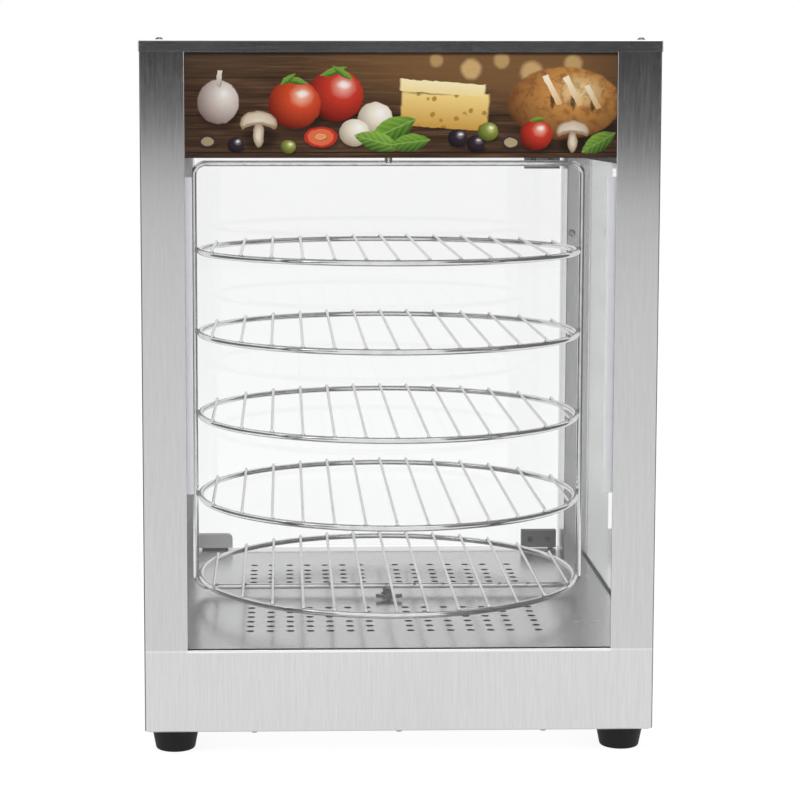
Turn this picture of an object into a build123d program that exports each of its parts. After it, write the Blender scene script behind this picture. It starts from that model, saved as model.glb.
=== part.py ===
from build123d import *
import os

# Rotating countertop display case for round pizzas, millimetres, +Z up.
# Right is +X and the front glass faces -Y. Inside this file the carousel turns about X = 0, Y = 0;
# the pieces are moved along Y at the very end, so that the middle of the footprint is the origin.

# Overall cabinet
cabinet_width = 480.0
cabinet_depth = 480.0
cabinet_height = 670.0
base_height = 78.0
header_drop = 107.2
sheet = 1.0
joint_gap = 0.3
bend_radius = 1.6
hem_round_share = 0.95

# Feet
foot_height = 21.5
foot_top_radius = 22.7
foot_base_radius = 18.5
foot_inset = 27.5
foot_recess_radius = 8.5
foot_recess_depth = 9.0
foot_edge_round = 1.8

# Corner posts
front_post_width = 41.0
front_post_depth = 40.0
hem_width = 10.0
rear_post_width = 31.0
rear_post_depth = 60.0
post_tab_setback = 3.5

# Lid
lid_sheet = 0.8
lid_clearance = 0.2
lid_skirt = 11.0
lid_screw_side_inset = 18.0
lid_screw_front_inset = 11.0

# Glass and its rubber channels
glass = 4.0
seal_wall = 0.8
seal_web = 1.0
seal_height = 11.0
front_glass_overlap = 13.0
front_glass_rise = 18.0
side_glass_setback = 12.0

# Folded edges of the base
ledge_drop = 9.0
ledge_width = 12.0
flange_width = 12.0
base_return = 15.0
cover_inset = 3.0

# Floor deck and its perforations
deck_drop = 0.2
deck_rear_setback = 27.0
perforation_radius = 3.9
perforation_pitch = 19.55
perforation_columns = 7
perforation_rows = 6
left_group_x = -141.5
right_group_x = 14.9
stray_pitch = 27.4
front_group_y = -163.0
rear_group_y = 35.3
deck_hub_hole = 7.0

# Header
graphic_thickness = 1.5
graphic_height = 96.2
header_flange = 12.0

# Ceiling and upper rear panel
ceiling_rim = 10.0
bush_radius = 7.0
bush_flange_radius = 11.0
bush_flange = 2.4
bush_rise = 7.0
upper_flange = 40.0
stop_lip = 9.5
stop_lip_right = 160.0

# Carousel
loop_half_width = 200.5
loop_over_base = 7.9
loop_top_gap = 11.0
loop_corner = 12.0
loop_rod = 3.0
tier_count = 5
first_tier_over_loop = 14.3
tier_pitch = 84.75
ring_wire = 3.0
cross_wire = 1.5
cross_wire_pitch = 30.0
cross_wires_each_side = 6
cross_wire_overhang = 2.0
weld = 0.3

# Drive
shaft_radius = 3.0
running_gap = 0.05
shaft_depth_in_motor = 14.0
hub_radius = 5.0
hub_skirt = 7.0
hub_saddle = 1.6
shaft_to_rod = 0.8
wing_shank_radius = 2.5
wing_tip_radius = 2.0
wing_shank_length = 34.0
wing_span = 27.0
wing_depth = 9.0
wing_thickness = 2.0
wing_tip_rise = 2.0
wing_to_deck = 0.4
pivot_pin_radius = 4.0
motor_radius = 30.0
motor_height = 30.0
motor_boss_radius = 9.0
motor_boss_height = 2.5
motor_ear = 12.0
bracket_top = 9.5
bracket_sheet = 1.5
bracket_width = 84.0
bracket_length = 70.0
bracket_foot = 14.0

# Heater
tray_depth = 25.0
tray_inset = 10.0
tray_front_setback = 30.0
tray_rear_setback = 48.0
tray_shaft_hole = 8.0
element_radius = 4.0
element_height = 14.0
element_half_width = 150.0
element_front = -150.0
element_back = 125.0
element_terminal_x = 30.0
element_bend = 28.0
element_tail = 10.0
clip_width = 14.0
clip_length = 10.0
clip_wall = 3.0
clip_front_x = 75.0
clip_side_y = 0.0

# Lamps behind the front posts
lamp_width = 16.0
lamp_body_depth = 6.0
lamp_lens_depth = 6.0
lamp_lens_round = 3.6
lamp_over_base = 147.5
lamp_top_gap = 18.0
lamp_reach = 6.0
lamp_to_glass = 1.2
lamp_tab = 16.0

# Rear door
door_pin_from_post = 9.0
door_edge_gap = 2.0
door_sheet = 4.0
door_centre_setback = 10.0
door_bottom = 4.5
door_top_gap = 5.8
door_pin_radius = 3.0
clamp_length = 40.0
clamp_height = 20.0
clamp_thickness = 10.0
clamp_edge_gap = 3.0
clamp_slot_gap = 0.3
clamp_sole = 3.0
clamp_screw_spacing = 20.0
clamp_screw_radius = 2.0
clamp_head_radius = 3.2
clamp_head = 1.0
hinge_block_width = 26.0
hinge_block_depth = 16.0
hinge_block_height = 6.0
pull_width = 40.0
pull_height = 16.0
pull_thickness = 9.0
pull_corner = 6.0
pull_lip = 17.0
pull_lip_thickness = 2.5
pull_gap = 2.5
magnet_length = 30.0
magnet_width = 8.0

# Controls on the rear of the base
control_height = 38.0
knob_inset = 130.0
knob_radius = 19.0
knob_height = 18.0
knob_gap = 1.0
knob_grip_radius = 14.0
knob_skirt = 4.0
pointer_width = 1.6
pointer_depth = 0.8
spindle_radius = 3.0
thermostat_size = 34.0
thermostat_depth = 24.0
spindle_engagement = 12.0
panel_hole_gap = 0.3
switch_x_light = 35.0
switch_x_motor = 5.0
switch_bezel_width = 15.0
switch_bezel_height = 21.0
switch_bezel = 2.0
switch_body_inset = 1.1
switch_body_depth = 18.0
rocker_radius = 7.5
rocker_width = 9.4
rocker_gap = 0.3
rocker_face = 3.5
rocker_pivot_depth = 0.5
rocker_tilt = 10.0
pilot_x = -30.0
pilot_radius = 4.5
pilot_body_radius = 4.0
pilot_body_depth = 18.0
gland_inset = 55.0
gland_bore = 4.2
gland_thread_radius = 8.0
gland_collar_radius = 11.0
gland_collar = 9.0
gland_nut = 5.0
terminal_length = 44.0
terminal_width = 18.0
terminal_height = 14.0
terminal_setback = 20.0

# Vents
slot_length = 34.0
slot_width = 4.0
slot_pitch = 12.0
slot_count = 6
vent_bank_x = 105.0
upper_slot_count = 9
upper_slot_pitch = 36.0
upper_slot_z = 40.0

# Screws
screw_radius = 2.0
screw_head_radius = 4.0
screw_head = 2.6
screw_length = 9.0
screw_hole_gap = 0.1
under_screw_x = 137.0
under_screw_inset = 8.0
panel_screw_inset = 16.0
panel_screw_low = 9.0
panel_screw_high = 60.0
post_screw_x = 5.5
post_screw_drop = 93.3
foot_screw_radius = 3.0
foot_screw_head_radius = 6.0
foot_screw_head = 3.5
foot_screw_rise = 6.0

# Places worked out from the sizes above
half_width = cabinet_width / 2
front_y = -cabinet_depth / 2
rear_y = cabinet_depth / 2
base_bottom = foot_height + sheet
base_top = base_bottom + base_height
lid_under = cabinet_height - lid_sheet
header_bottom = lid_under - header_drop
hem = 2 * sheet
hem_round = hem_round_share * sheet
front_opening = half_width - front_post_width
rear_opening = half_width - rear_post_width
rear_post_y = rear_y - rear_post_depth
post_screw_z = header_bottom - post_screw_drop

ledge_top = base_top - ledge_drop
deck_top = base_top - deck_drop
deck_rear = rear_y - deck_rear_setback
side_seal_outer = half_width - sheet
side_glass_outer = side_seal_outer - seal_wall
side_seal_inner = side_glass_outer - glass - seal_wall
front_seal_outer = front_y + hem + sheet
front_glass_outer = front_seal_outer + seal_wall
front_seal_inner = front_glass_outer + glass + seal_wall
front_glass_half = front_opening + front_glass_overlap
front_glass_top = header_bottom + front_glass_rise
side_glass_front = front_y + side_glass_setback
glass_bottom = ledge_top + seal_web
side_glass_top = header_bottom - seal_web
deck_half = side_seal_inner - joint_gap
deck_front = front_seal_inner + joint_gap
neck_half = rear_opening - joint_gap
ceiling_bottom = header_bottom + sheet

loop_bottom = base_top + loop_over_base
loop_top = header_bottom - loop_top_gap
first_tier = loop_bottom + first_tier_over_loop
tier_levels = [first_tier + tier_pitch * tier for tier in range(tier_count)]
ring_outer = loop_half_width - loop_rod + weld
ring_centre = ring_outer - ring_wire
wire_level = ring_wire + cross_wire - weld
screw_axis = deck_top + wing_to_deck + wing_shank_radius
shaft_top = loop_bottom - loop_rod - shaft_to_rod
tray_top = ledge_top - sheet
tray_floor = tray_top - tray_depth
element_level = tray_floor + sheet + element_height
tray_half = side_seal_inner - ledge_width - tray_inset
tray_front = front_y + tray_front_setback
tray_rear = rear_y - tray_rear_setback
motor_bottom = base_bottom + bracket_top
motor_top = motor_bottom + motor_height
lamp_bottom = base_top + lamp_over_base
lamp_length = header_bottom - lamp_top_gap - lamp_bottom

door_y = rear_y - door_centre_setback
hinge_x = rear_opening - door_pin_from_post
door_half = rear_opening - door_edge_gap
door_low = base_top + door_bottom
door_high = header_bottom - door_top_gap
control_z = base_bottom + control_height
knob_x = half_width - knob_inset
gland_x = gland_inset - half_width
panel_screw_x = half_width - panel_screw_inset
lid_screw_x = half_width - lid_screw_side_inset
lid_screw_y = cabinet_depth / 2 - lid_screw_front_inset
foot_x = half_width - foot_inset
foot_y = cabinet_depth / 2 - foot_inset

knob_reach = knob_gap + knob_height
pull_reach = pull_thickness / 2 + pull_lip - door_centre_setback
rear_reach = max(knob_reach, pull_reach, gland_collar)
lid_reach = lid_clearance + lid_sheet
origin_shift = (lid_reach - rear_reach) / 2


def block(x0, x1, y0, y1, z0, z1):
    """A block between two opposite corners."""
    centre = Pos((x0 + x1) / 2, (y0 + y1) / 2, (z0 + z1) / 2)
    return centre * Box(abs(x1 - x0), abs(y1 - y0), abs(z1 - z0))


def upright(x, y, z0, z1, radius):
    """A cylinder along Z."""
    return Pos(x, y, (z0 + z1) / 2) * Cylinder(radius, z1 - z0)


def along_y(x, z, y0, y1, radius):
    """A cylinder along Y."""
    return Pos(x, (y0 + y1) / 2, z) * Rot(90, 0, 0) * Cylinder(radius, y1 - y0)


def along_x(y, z, x0, x1, radius):
    """A cylinder along X."""
    return Pos((x0 + x1) / 2, y, z) * Rot(0, 90, 0) * Cylinder(radius, x1 - x0)


def mirrored(piece):
    """The same piece on the left-hand side."""
    return mirror(piece, about=Plane.YZ)


def group(pieces):
    """Separate solids kept together in one node."""
    return Compound(children=[solid for piece in pieces for solid in piece.solids()])


def outline(points, rounds):
    """A closed flat face whose corners near the keys of rounds get the radii given there."""
    face = make_face(Polyline(*points, close=True))
    for corner, radius in rounds:
        face = fillet(face.vertices().sort_by_distance(Vector(*corner))[0], radius)
    return face


def dome_screw(length):
    """A dome-headed screw along -Z with the head's seat at Z = 0."""
    sphere_radius = (screw_head_radius**2 + screw_head**2) / (2 * screw_head)
    dome = Pos(0, 0, screw_head - sphere_radius) * Sphere(sphere_radius)
    head = dome & upright(0, 0, 0, screw_head, screw_head_radius)
    return head + upright(0, 0, -length, 0, screw_radius)


# Corner posts

def corner_plan(depth, hemmed):
    """Plan of the right front corner: face, outer side and, on a post, the folded inner edge."""
    inner = front_opening
    points = [
        (inner, front_y),
        (half_width, front_y),
        (half_width, front_y + depth),
        (half_width - sheet, front_y + depth),
        (half_width - sheet, front_y + sheet),
    ]
    rounds = [((half_width, front_y), bend_radius)]
    if hemmed:
        points += [
            (inner + hem_width, front_y + sheet),
            (inner + hem_width, front_y + hem),
            (inner, front_y + hem),
        ]
        rounds += [((inner, front_y), hem_round), ((inner, front_y + hem), hem_round)]
    else:
        points += [(inner, front_y + sheet)]
    return outline(points, rounds)


def front_post():
    """Folded post with a screw tab under the lid."""
    post = Pos(0, 0, base_top) * extrude(corner_plan(front_post_depth, True), lid_under - base_top)
    tab = block(
        front_glass_half + hem,
        half_width - sheet,
        front_y + post_tab_setback,
        front_y + front_post_depth,
        lid_under - sheet,
        lid_under,
    )
    hole_radius = screw_radius + screw_hole_gap
    return post + tab - upright(lid_screw_x, -lid_screw_y, lid_under - hem, lid_under + hem, hole_radius)


def rear_post():
    """Closed box post with a capped top."""
    centre = Pos(half_width - rear_post_width / 2, rear_y - rear_post_depth / 2, base_top)
    outer = RectangleRounded(rear_post_width, rear_post_depth, bend_radius)
    inner = Rectangle(rear_post_width - hem, rear_post_depth - hem)
    tube = centre * extrude(outer - inner, lid_under - base_top)
    cap = block(
        rear_opening + sheet,
        half_width - sheet,
        rear_post_y + sheet,
        rear_y - sheet,
        lid_under - sheet,
        lid_under,
    )
    hole_radius = screw_radius + screw_hole_gap
    lid_hole = upright(lid_screw_x, lid_screw_y, lid_under - hem, lid_under + hem, hole_radius)
    face_x = rear_opening + post_screw_x
    face_hole = along_y(face_x, post_screw_z, rear_post_y - hem, rear_post_y + hem, hole_radius)
    return tube + cap - lid_hole - face_hole


# Base panels

def base_front_panel():
    """Apron that wraps both front corners, with a ledge for the glass and a rounded top hem."""
    low_top = ledge_top - sheet
    outer = block(-half_width, half_width, front_y, front_y + base_return, base_bottom, low_top)
    corners = outer.edges().filter_by(Axis.Z).group_by(Axis.Y)[0]
    under = outer.faces().sort_by(Axis.Z)[0].edges()
    under_front = under.sort_by(Axis.Y)[:-1]
    outer = fillet(corners + under_front, bend_radius)
    hollow = block(
        sheet - half_width,
        half_width - sheet,
        front_y + sheet,
        front_y + base_return + hem,
        base_bottom + sheet,
        base_top,
    )
    tray = outer - hollow
    ledge = block(
        sheet - half_width,
        half_width - sheet,
        front_y + sheet / 2,
        front_y + base_return,
        ledge_top - sheet,
        ledge_top,
    )
    cheek = Pos(0, 0, low_top) * extrude(corner_plan(base_return, False), base_top - low_top)
    hem_points = [
        (front_y, low_top),
        (front_y + hem, low_top),
        (front_y + hem, base_top),
        (front_y, base_top),
    ]
    hem_rounds = [((front_y + hem, base_top), hem_round), ((front_y, base_top), hem_round)]
    hem_face = Plane.YZ * outline(hem_points, hem_rounds)
    bar = Pos(-front_opening, 0, 0) * extrude(hem_face, 2 * front_opening, dir=(1, 0, 0))
    panel = tray + ledge + cheek + mirrored(cheek) + bar
    for x in under_screws_x():
        panel -= under_screw_hole(x, front_y + under_screw_inset)
    return panel


def base_side_panel():
    """Right side of the base: wall, glass ledge and bottom flange folded from one sheet."""
    wall_inner = half_width - sheet
    points = [
        (half_width, base_bottom),
        (half_width, base_top),
        (wall_inner, base_top),
        (wall_inner, ledge_top),
        (wall_inner - ledge_width, ledge_top),
        (wall_inner - ledge_width, ledge_top - sheet),
        (wall_inner, ledge_top - sheet),
        (wall_inner, base_bottom + sheet),
        (wall_inner - flange_width, base_bottom + sheet),
        (wall_inner - flange_width, base_bottom),
    ]
    face = Plane.XZ * outline(points, [((half_width, base_bottom), bend_radius)])
    start = front_y + base_return + joint_gap
    panel = Pos(0, start, 0) * extrude(face, rear_y - start, dir=(0, 1, 0))
    rear_start = rear_y - sheet - joint_gap
    panel -= block(
        wall_inner - ledge_width - hem, wall_inner, rear_start, rear_y + hem, base_bottom, base_top
    )
    return panel - under_screw_hole(half_width - under_screw_inset, 0)


def slot(length):
    """Rounded slot standing through a horizontal sheet."""
    return extrude(SlotOverall(length, slot_width), hem, both=True)


def under_screws_x():
    """Where the cover screws stand along the front and rear edges."""
    return (-under_screw_x, 0, under_screw_x)


def under_screw_hole(x, y):
    """Hole for a cover screw."""
    return upright(x, y, base_bottom - hem, base_bottom + hem, screw_radius + screw_hole_gap)


def bottom_cover():
    """Removable cover under the base with two banks of air slots and the foot holes."""
    half = half_width - cover_inset
    half_y = cabinet_depth / 2 - cover_inset
    cover = block(-half, half, -half_y, half_y, foot_height, base_bottom)
    for side in (-1, 1):
        for row in range(slot_count):
            y = (row - (slot_count - 1) / 2) * slot_pitch
            cover -= Pos(side * vent_bank_x, y, foot_height) * slot(slot_length)
    for x, y in cover_screw_places():
        cover -= under_screw_hole(x, y)
    for x, y in foot_places():
        cover -= upright(x, y, foot_height - hem, base_bottom + hem, foot_screw_radius + screw_hole_gap)
    return cover


def cover_screw_places():
    """Centres of the screws under the base."""
    end_y = cabinet_depth / 2 - under_screw_inset
    ends = [(x, side * end_y) for x in under_screws_x() for side in (-1, 1)]
    sides = [(side * (half_width - under_screw_inset), 0) for side in (-1, 1)]
    return ends + sides


def foot_places():
    """Centres of the feet."""
    return [(sx * foot_x, sy * foot_y) for sx in (-1, 1) for sy in (-1, 1)]


def rear_control_panel():
    """Panel behind the base that carries the controls, with a bottom flange."""
    half = half_width - sheet - joint_gap
    flange_half = half_width - sheet - flange_width - joint_gap
    panel = block(-half, half, rear_y - sheet, rear_y, base_bottom, base_top - sheet)
    flange_top = base_bottom + sheet
    panel += block(-flange_half, flange_half, rear_y - flange_width, rear_y, base_bottom, flange_top)
    cuts = [
        along_y(knob_x, control_z, rear_y - hem, rear_y + hem, spindle_radius + panel_hole_gap),
        along_y(pilot_x, control_z, rear_y - hem, rear_y + hem, pilot_body_radius + panel_hole_gap),
        along_y(gland_x, control_z, rear_y - hem, rear_y + hem, gland_thread_radius + panel_hole_gap),
    ]
    opening = switch_body_inset - panel_hole_gap
    for x in (switch_x_light, switch_x_motor):
        cuts.append(
            block(
                x - switch_bezel_width / 2 + opening,
                x + switch_bezel_width / 2 - opening,
                rear_y - hem,
                rear_y + hem,
                control_z - switch_bezel_height / 2 + opening,
                control_z + switch_bezel_height / 2 - opening,
            )
        )
    for x, z in panel_screw_places():
        cuts.append(along_y(x, z, rear_y - hem, rear_y + hem, screw_radius + screw_hole_gap))
    for x in under_screws_x():
        cuts.append(under_screw_hole(x, rear_y - under_screw_inset))
    return panel - cuts


def panel_screw_places():
    """Centres of the screws through the rear control panel."""
    levels = (base_bottom + panel_screw_low, base_bottom + panel_screw_high)
    return [(side * panel_screw_x, z) for side in (-1, 1) for z in levels]


def door_sill():
    """Sill behind the deck that carries the rear posts and the lower hinge block."""
    half = half_width - sheet - joint_gap
    front = rear_post_y + joint_gap
    plate = block(-half, half, front, rear_y, base_top - sheet, base_top)
    plate -= block(
        -rear_opening, rear_opening, front - hem, deck_rear + joint_gap, base_top - hem, base_top + hem
    )
    plate -= upright(hinge_x, door_y, base_top - hem, base_top + hem, door_pin_radius + screw_hole_gap)
    rear = rear_y - sheet - joint_gap
    for side in (-1, 1):
        plate += block(side * (half - sheet), side * half, front, rear, ledge_top, base_top - sheet)
    return plate


def stepped_plan(front, half, rear):
    """Plan of a sheet that narrows to pass between the rear posts."""
    step = rear_post_y - joint_gap
    right = [(half, front), (half, step), (neck_half, step), (neck_half, rear)]
    left = [(-x, y) for x, y in reversed(right)]
    return make_face(Polyline(*right, *left, close=True))


def perforation_places():
    """Centres of the deck's heat holes: four groups, the last column and last row set wider."""
    columns = [left_group_x + perforation_pitch * i for i in range(perforation_columns)]
    columns += [right_group_x + perforation_pitch * i for i in range(perforation_columns - 1)]
    columns.append(columns[-1] + stray_pitch)
    rows = [front_group_y + perforation_pitch * i for i in range(perforation_rows)]
    rows += [rear_group_y + perforation_pitch * i for i in range(perforation_rows - 1)]
    rows.append(rows[-1] + stray_pitch)
    return [(x, y) for x in columns for y in rows]


def floor_deck():
    """Perforated floor of the warm space, on folded skirts that stand on the base's ledges."""
    plan = stepped_plan(deck_front, deck_half, deck_rear)
    holes = [Pos(x, y) * Circle(perforation_radius) for x, y in perforation_places()]
    plan -= holes + [Circle(deck_hub_hole)]
    deck = Pos(0, 0, deck_top - sheet) * extrude(plan, sheet)
    deck += block(-deck_half, deck_half, deck_front, deck_front + sheet, ledge_top, deck_top - sheet)
    side_end = rear_post_y - joint_gap
    for side in (-1, 1):
        deck += block(
            side * (deck_half - sheet), side * deck_half, deck_front, side_end, ledge_top, deck_top - sheet
        )
    return deck


# Upper cabinet

def header_panel():
    """Steel panel behind the picture strip, welded to the backs of the front posts."""
    z_top = lid_under - joint_gap
    y0 = front_y + hem
    panel = block(-front_glass_half, front_glass_half, y0, y0 + sheet, header_bottom, z_top)
    return panel + block(
        -front_glass_half, front_glass_half, y0, y0 + header_flange, z_top - sheet, z_top
    )


def header_graphic():
    """Printed strip that fills the front between the posts."""
    half = front_opening - joint_gap
    y1 = front_y + hem
    return block(-half, half, y1 - graphic_thickness, y1, header_bottom, header_bottom + graphic_height)


def upper_side_panel():
    """Right side above the glass, folded in under the ceiling."""
    y0 = front_y + front_post_depth + joint_gap
    y1 = rear_post_y - joint_gap
    wall = block(half_width - sheet, half_width, y0, y1, header_bottom, lid_under)
    shelf = block(half_width - ledge_width, half_width - sheet, y0, y1, header_bottom, ceiling_bottom)
    return wall + shelf


def upper_rear_panel():
    """Panel above the door with air slots, a shelf for the ceiling and the door's stop."""
    half = rear_opening - joint_gap
    wall = block(-half, half, rear_y - sheet, rear_y, header_bottom, lid_under)
    shelf = block(-half, half, rear_y - upper_flange, rear_y - sheet, header_bottom, ceiling_bottom)
    stop_back = door_y - door_sheet / 2 - joint_gap
    stop_low = header_bottom - stop_lip
    stop = block(-half, stop_lip_right, stop_back - sheet, stop_back, stop_low, header_bottom)
    panel = wall + shelf + stop
    panel -= upright(
        hinge_x, door_y, header_bottom - hem, ceiling_bottom + hem, door_pin_radius + screw_hole_gap
    )
    for index in range(upper_slot_count):
        x = (index - (upper_slot_count - 1) / 2) * upper_slot_pitch
        panel -= Pos(x, rear_y, ceiling_bottom + upper_slot_z) * Rot(90, 0, 90) * slot(slot_length)
    return panel


def ceiling_panel():
    """Roof of the warm space with an upturned rim and the hole for the top bush."""
    rear = rear_y - upper_flange + ceiling_rim
    half = side_seal_inner
    plan = stepped_plan(deck_front, half, rear) - Circle(bush_radius + running_gap)
    roof = Pos(0, 0, ceiling_bottom) * extrude(plan, sheet)
    rim_low = ceiling_bottom + sheet
    rim_high = rim_low + ceiling_rim
    roof += block(-half, half, deck_front, deck_front + sheet, rim_low, rim_high)
    for side in (-1, 1):
        roof += block(
            side * (half - sheet), side * half, deck_front, rear_post_y - joint_gap, rim_low, rim_high
        )
    return roof


def lid():
    """Folded cap with a skirt all round."""
    half = half_width + lid_reach
    half_y = cabinet_depth / 2 + lid_reach
    cap = block(-half, half, -half_y, half_y, cabinet_height - lid_skirt, cabinet_height)
    rounds = cap.edges().filter_by(Axis.Z) + cap.faces().sort_by(Axis.Z)[-1].edges()
    cap = fillet(rounds, bend_radius)
    cap -= block(
        lid_sheet - half,
        half - lid_sheet,
        lid_sheet - half_y,
        half_y - lid_sheet,
        cabinet_height - lid_skirt - hem,
        lid_under,
    )
    for x, y in lid_screw_places():
        cap -= upright(x, y, lid_under - hem, cabinet_height + hem, screw_radius + screw_hole_gap)
    return cap


def lid_screw_places():
    """Centres of the lid screws."""
    return [(sx * lid_screw_x, sy * lid_screw_y) for sx in (-1, 1) for sy in (-1, 1)]


# Glass

def front_glass():
    """Fixed front pane."""
    return block(
        -front_glass_half,
        front_glass_half,
        front_glass_outer,
        front_glass_outer + glass,
        glass_bottom,
        front_glass_top,
    )


def side_glass():
    """Fixed right pane."""
    return block(
        side_glass_outer - glass,
        side_glass_outer,
        side_glass_front,
        rear_post_y - joint_gap,
        glass_bottom,
        side_glass_top,
    )


def side_seal(z0, z1, pane_z0, pane_z1):
    """Rubber channel along one edge of the right pane."""
    y0 = side_glass_front
    y1 = rear_post_y - joint_gap
    channel = block(side_seal_inner, side_seal_outer, y0, y1, z0, z1)
    return channel - block(side_glass_outer - glass, side_glass_outer, y0 - hem, y1 + hem, pane_z0, pane_z1)


def front_seal(z0, z1, pane_z0, pane_z1):
    """Rubber channel along one edge of the front pane."""
    half = front_glass_half
    channel = block(-half, half, front_seal_outer, front_seal_inner, z0, z1)
    inner = front_glass_outer + glass
    return channel - block(-half - hem, half + hem, front_glass_outer, inner, pane_z0, pane_z1)


def glass_seals():
    """Channels under and over the three fixed panes."""
    low = side_seal(ledge_top, ledge_top + seal_height, glass_bottom, side_glass_top)
    high = side_seal(header_bottom - seal_height, header_bottom, glass_bottom, side_glass_top)
    front_low_height = ledge_drop - deck_drop
    front_low = front_seal(ledge_top, ledge_top + front_low_height, glass_bottom, front_glass_top)
    front_high_z = front_glass_top + seal_web
    front_high = front_seal(front_high_z - seal_height, front_high_z, glass_bottom, front_glass_top)
    return group([low, mirrored(low), high, mirrored(high), front_low, front_high])


# Carousel

def carousel_frame():
    """One closed loop of rod that carries the racks."""
    height = loop_top - loop_bottom
    centre = Pos(0, 0, (loop_top + loop_bottom) / 2)
    loop = RectangleRounded(2 * loop_half_width, height, loop_corner).wire()
    path = centre * (Plane.XZ * loop)
    section = Plane(path @ 0, z_dir=path % 0) * Circle(loop_rod)
    return sweep(section, path=path)


def rack(level):
    """Round rack: a ring with cross wires laid over it."""
    ring = Pos(0, 0, level) * Torus(ring_centre, ring_wire)
    reach = ring_centre + cross_wire_overhang
    wires = []
    for index in range(-cross_wires_each_side, cross_wires_each_side + 1):
        x = index * cross_wire_pitch
        if abs(x) < reach - cross_wire:
            half = (reach**2 - x**2) ** 0.5
            wires.append(along_y(x, level + wire_level, -half, half, cross_wire))
    return ring + wires


def drive_hub():
    """Sleeve welded under the loop, with a thread for the wing screw."""
    top = loop_bottom - loop_rod + hub_saddle
    hub = upright(0, 0, deck_top - hub_skirt, top, hub_radius)
    hub -= along_x(0, loop_bottom, -hub_radius - hem, hub_radius + hem, loop_rod)
    hub -= upright(0, 0, deck_top - hub_skirt - hem, shaft_top + running_gap, shaft_radius + running_gap)
    return hub - along_y(0, screw_axis, -hub_radius - hem, 0, wing_tip_radius)


def wing_screw():
    """Wing screw that clamps the hub to the shaft, pointing to the front."""
    head_y = -shaft_radius - running_gap - wing_shank_length
    tip = along_y(0, screw_axis, -hub_radius - hem, -shaft_radius - running_gap, wing_tip_radius)
    shank = along_y(0, screw_axis, head_y, -hub_radius - sheet, wing_shank_radius)
    half = wing_span / 2
    ear_points = [
        (0, screw_axis - wing_thickness / 2),
        (half, screw_axis - wing_thickness / 2 + wing_tip_rise),
        (half, screw_axis + wing_thickness / 2 + wing_tip_rise),
        (0, screw_axis + wing_thickness / 2),
    ]
    ear_face = Plane.XZ * make_face(Polyline(*ear_points, close=True))
    ear = Pos(0, head_y, 0) * extrude(ear_face, wing_depth, dir=(0, 1, 0))
    return tip + shank + ear + mirrored(ear)


def drive_shaft():
    """Output shaft of the gear motor."""
    return upright(0, 0, motor_top - shaft_depth_in_motor, shaft_top, shaft_radius)


def top_pivot_pin():
    """Pin on the loop's top rod that turns in the ceiling bush."""
    return upright(0, 0, loop_top, ceiling_bottom + bush_rise, pivot_pin_radius) - along_x(
        0, loop_top, -pivot_pin_radius - hem, pivot_pin_radius + hem, loop_rod
    )


def carousel_bush():
    """Flanged plastic bush in the ceiling."""
    low = ceiling_bottom - bush_flange
    high = ceiling_bottom + bush_rise
    bush = upright(0, 0, low, ceiling_bottom, bush_flange_radius) + upright(0, 0, low, high, bush_radius)
    return bush - upright(0, 0, low - hem, high + hem, pivot_pin_radius + running_gap)


# Drive and heater inside the base

def gear_motor():
    """Slow gear motor: round case, output boss and two ears."""
    case = upright(0, 0, motor_bottom, motor_top, motor_radius)
    case += upright(0, 0, motor_top, motor_top + motor_boss_height, motor_boss_radius)
    reach = motor_radius + motor_ear
    case += block(-reach, reach, -motor_ear / 2, motor_ear / 2, motor_bottom, motor_bottom + hem)
    bore_low = motor_top - shaft_depth_in_motor - sheet
    return case - upright(0, 0, bore_low, motor_top + motor_boss_height + hem, shaft_radius + running_gap)


def motor_bracket():
    """Hat bracket that lifts the motor off the bottom cover."""
    half = bracket_width / 2
    top = motor_bottom
    low = base_bottom
    points = [
        (half, top),
        (half, low + bracket_sheet),
        (half + bracket_foot, low + bracket_sheet),
        (half + bracket_foot, low),
        (half - bracket_sheet, low),
        (half - bracket_sheet, top - bracket_sheet),
    ]
    left = [(-x, z) for x, z in reversed(points)]
    face = Plane.XZ * make_face(Polyline(*points, *left, close=True))
    return Pos(0, -bracket_length / 2, 0) * extrude(face, bracket_length, dir=(0, 1, 0))


def heat_tray():
    """Reflector tray hung under the ledges, between the heater and the drive."""
    tray = block(-tray_half, tray_half, tray_front, tray_rear, tray_floor, tray_top)
    tray -= block(
        sheet - tray_half,
        tray_half - sheet,
        tray_front + sheet,
        tray_rear - sheet,
        tray_floor + sheet,
        tray_top + hem,
    )
    for side in (-1, 1):
        inner = side * (tray_half - sheet)
        tray += block(inner, side * deck_half, tray_front, tray_rear, tray_top - sheet, tray_top)
        tray -= along_y(
            side * element_terminal_x,
            element_level,
            tray_rear - hem,
            tray_rear + hem,
            element_radius + joint_gap,
        )
    return tray - upright(0, 0, tray_floor - hem, tray_floor + hem, tray_shaft_hole)


def heating_element():
    """Sheathed tubular element bent round the tray."""
    end_y = tray_rear + element_tail
    right = [
        (element_terminal_x, end_y),
        (element_terminal_x, element_back),
        (element_half_width, element_back),
        (element_half_width, element_front),
    ]
    points = right + [(-x, y) for x, y in reversed(right)]
    path = Pos(0, 0, element_level) * FilletPolyline(*points, radius=element_bend)
    section = Plane(path @ 0, z_dir=path % 0) * Circle(element_radius)
    return sweep(section, path=path)


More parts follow.
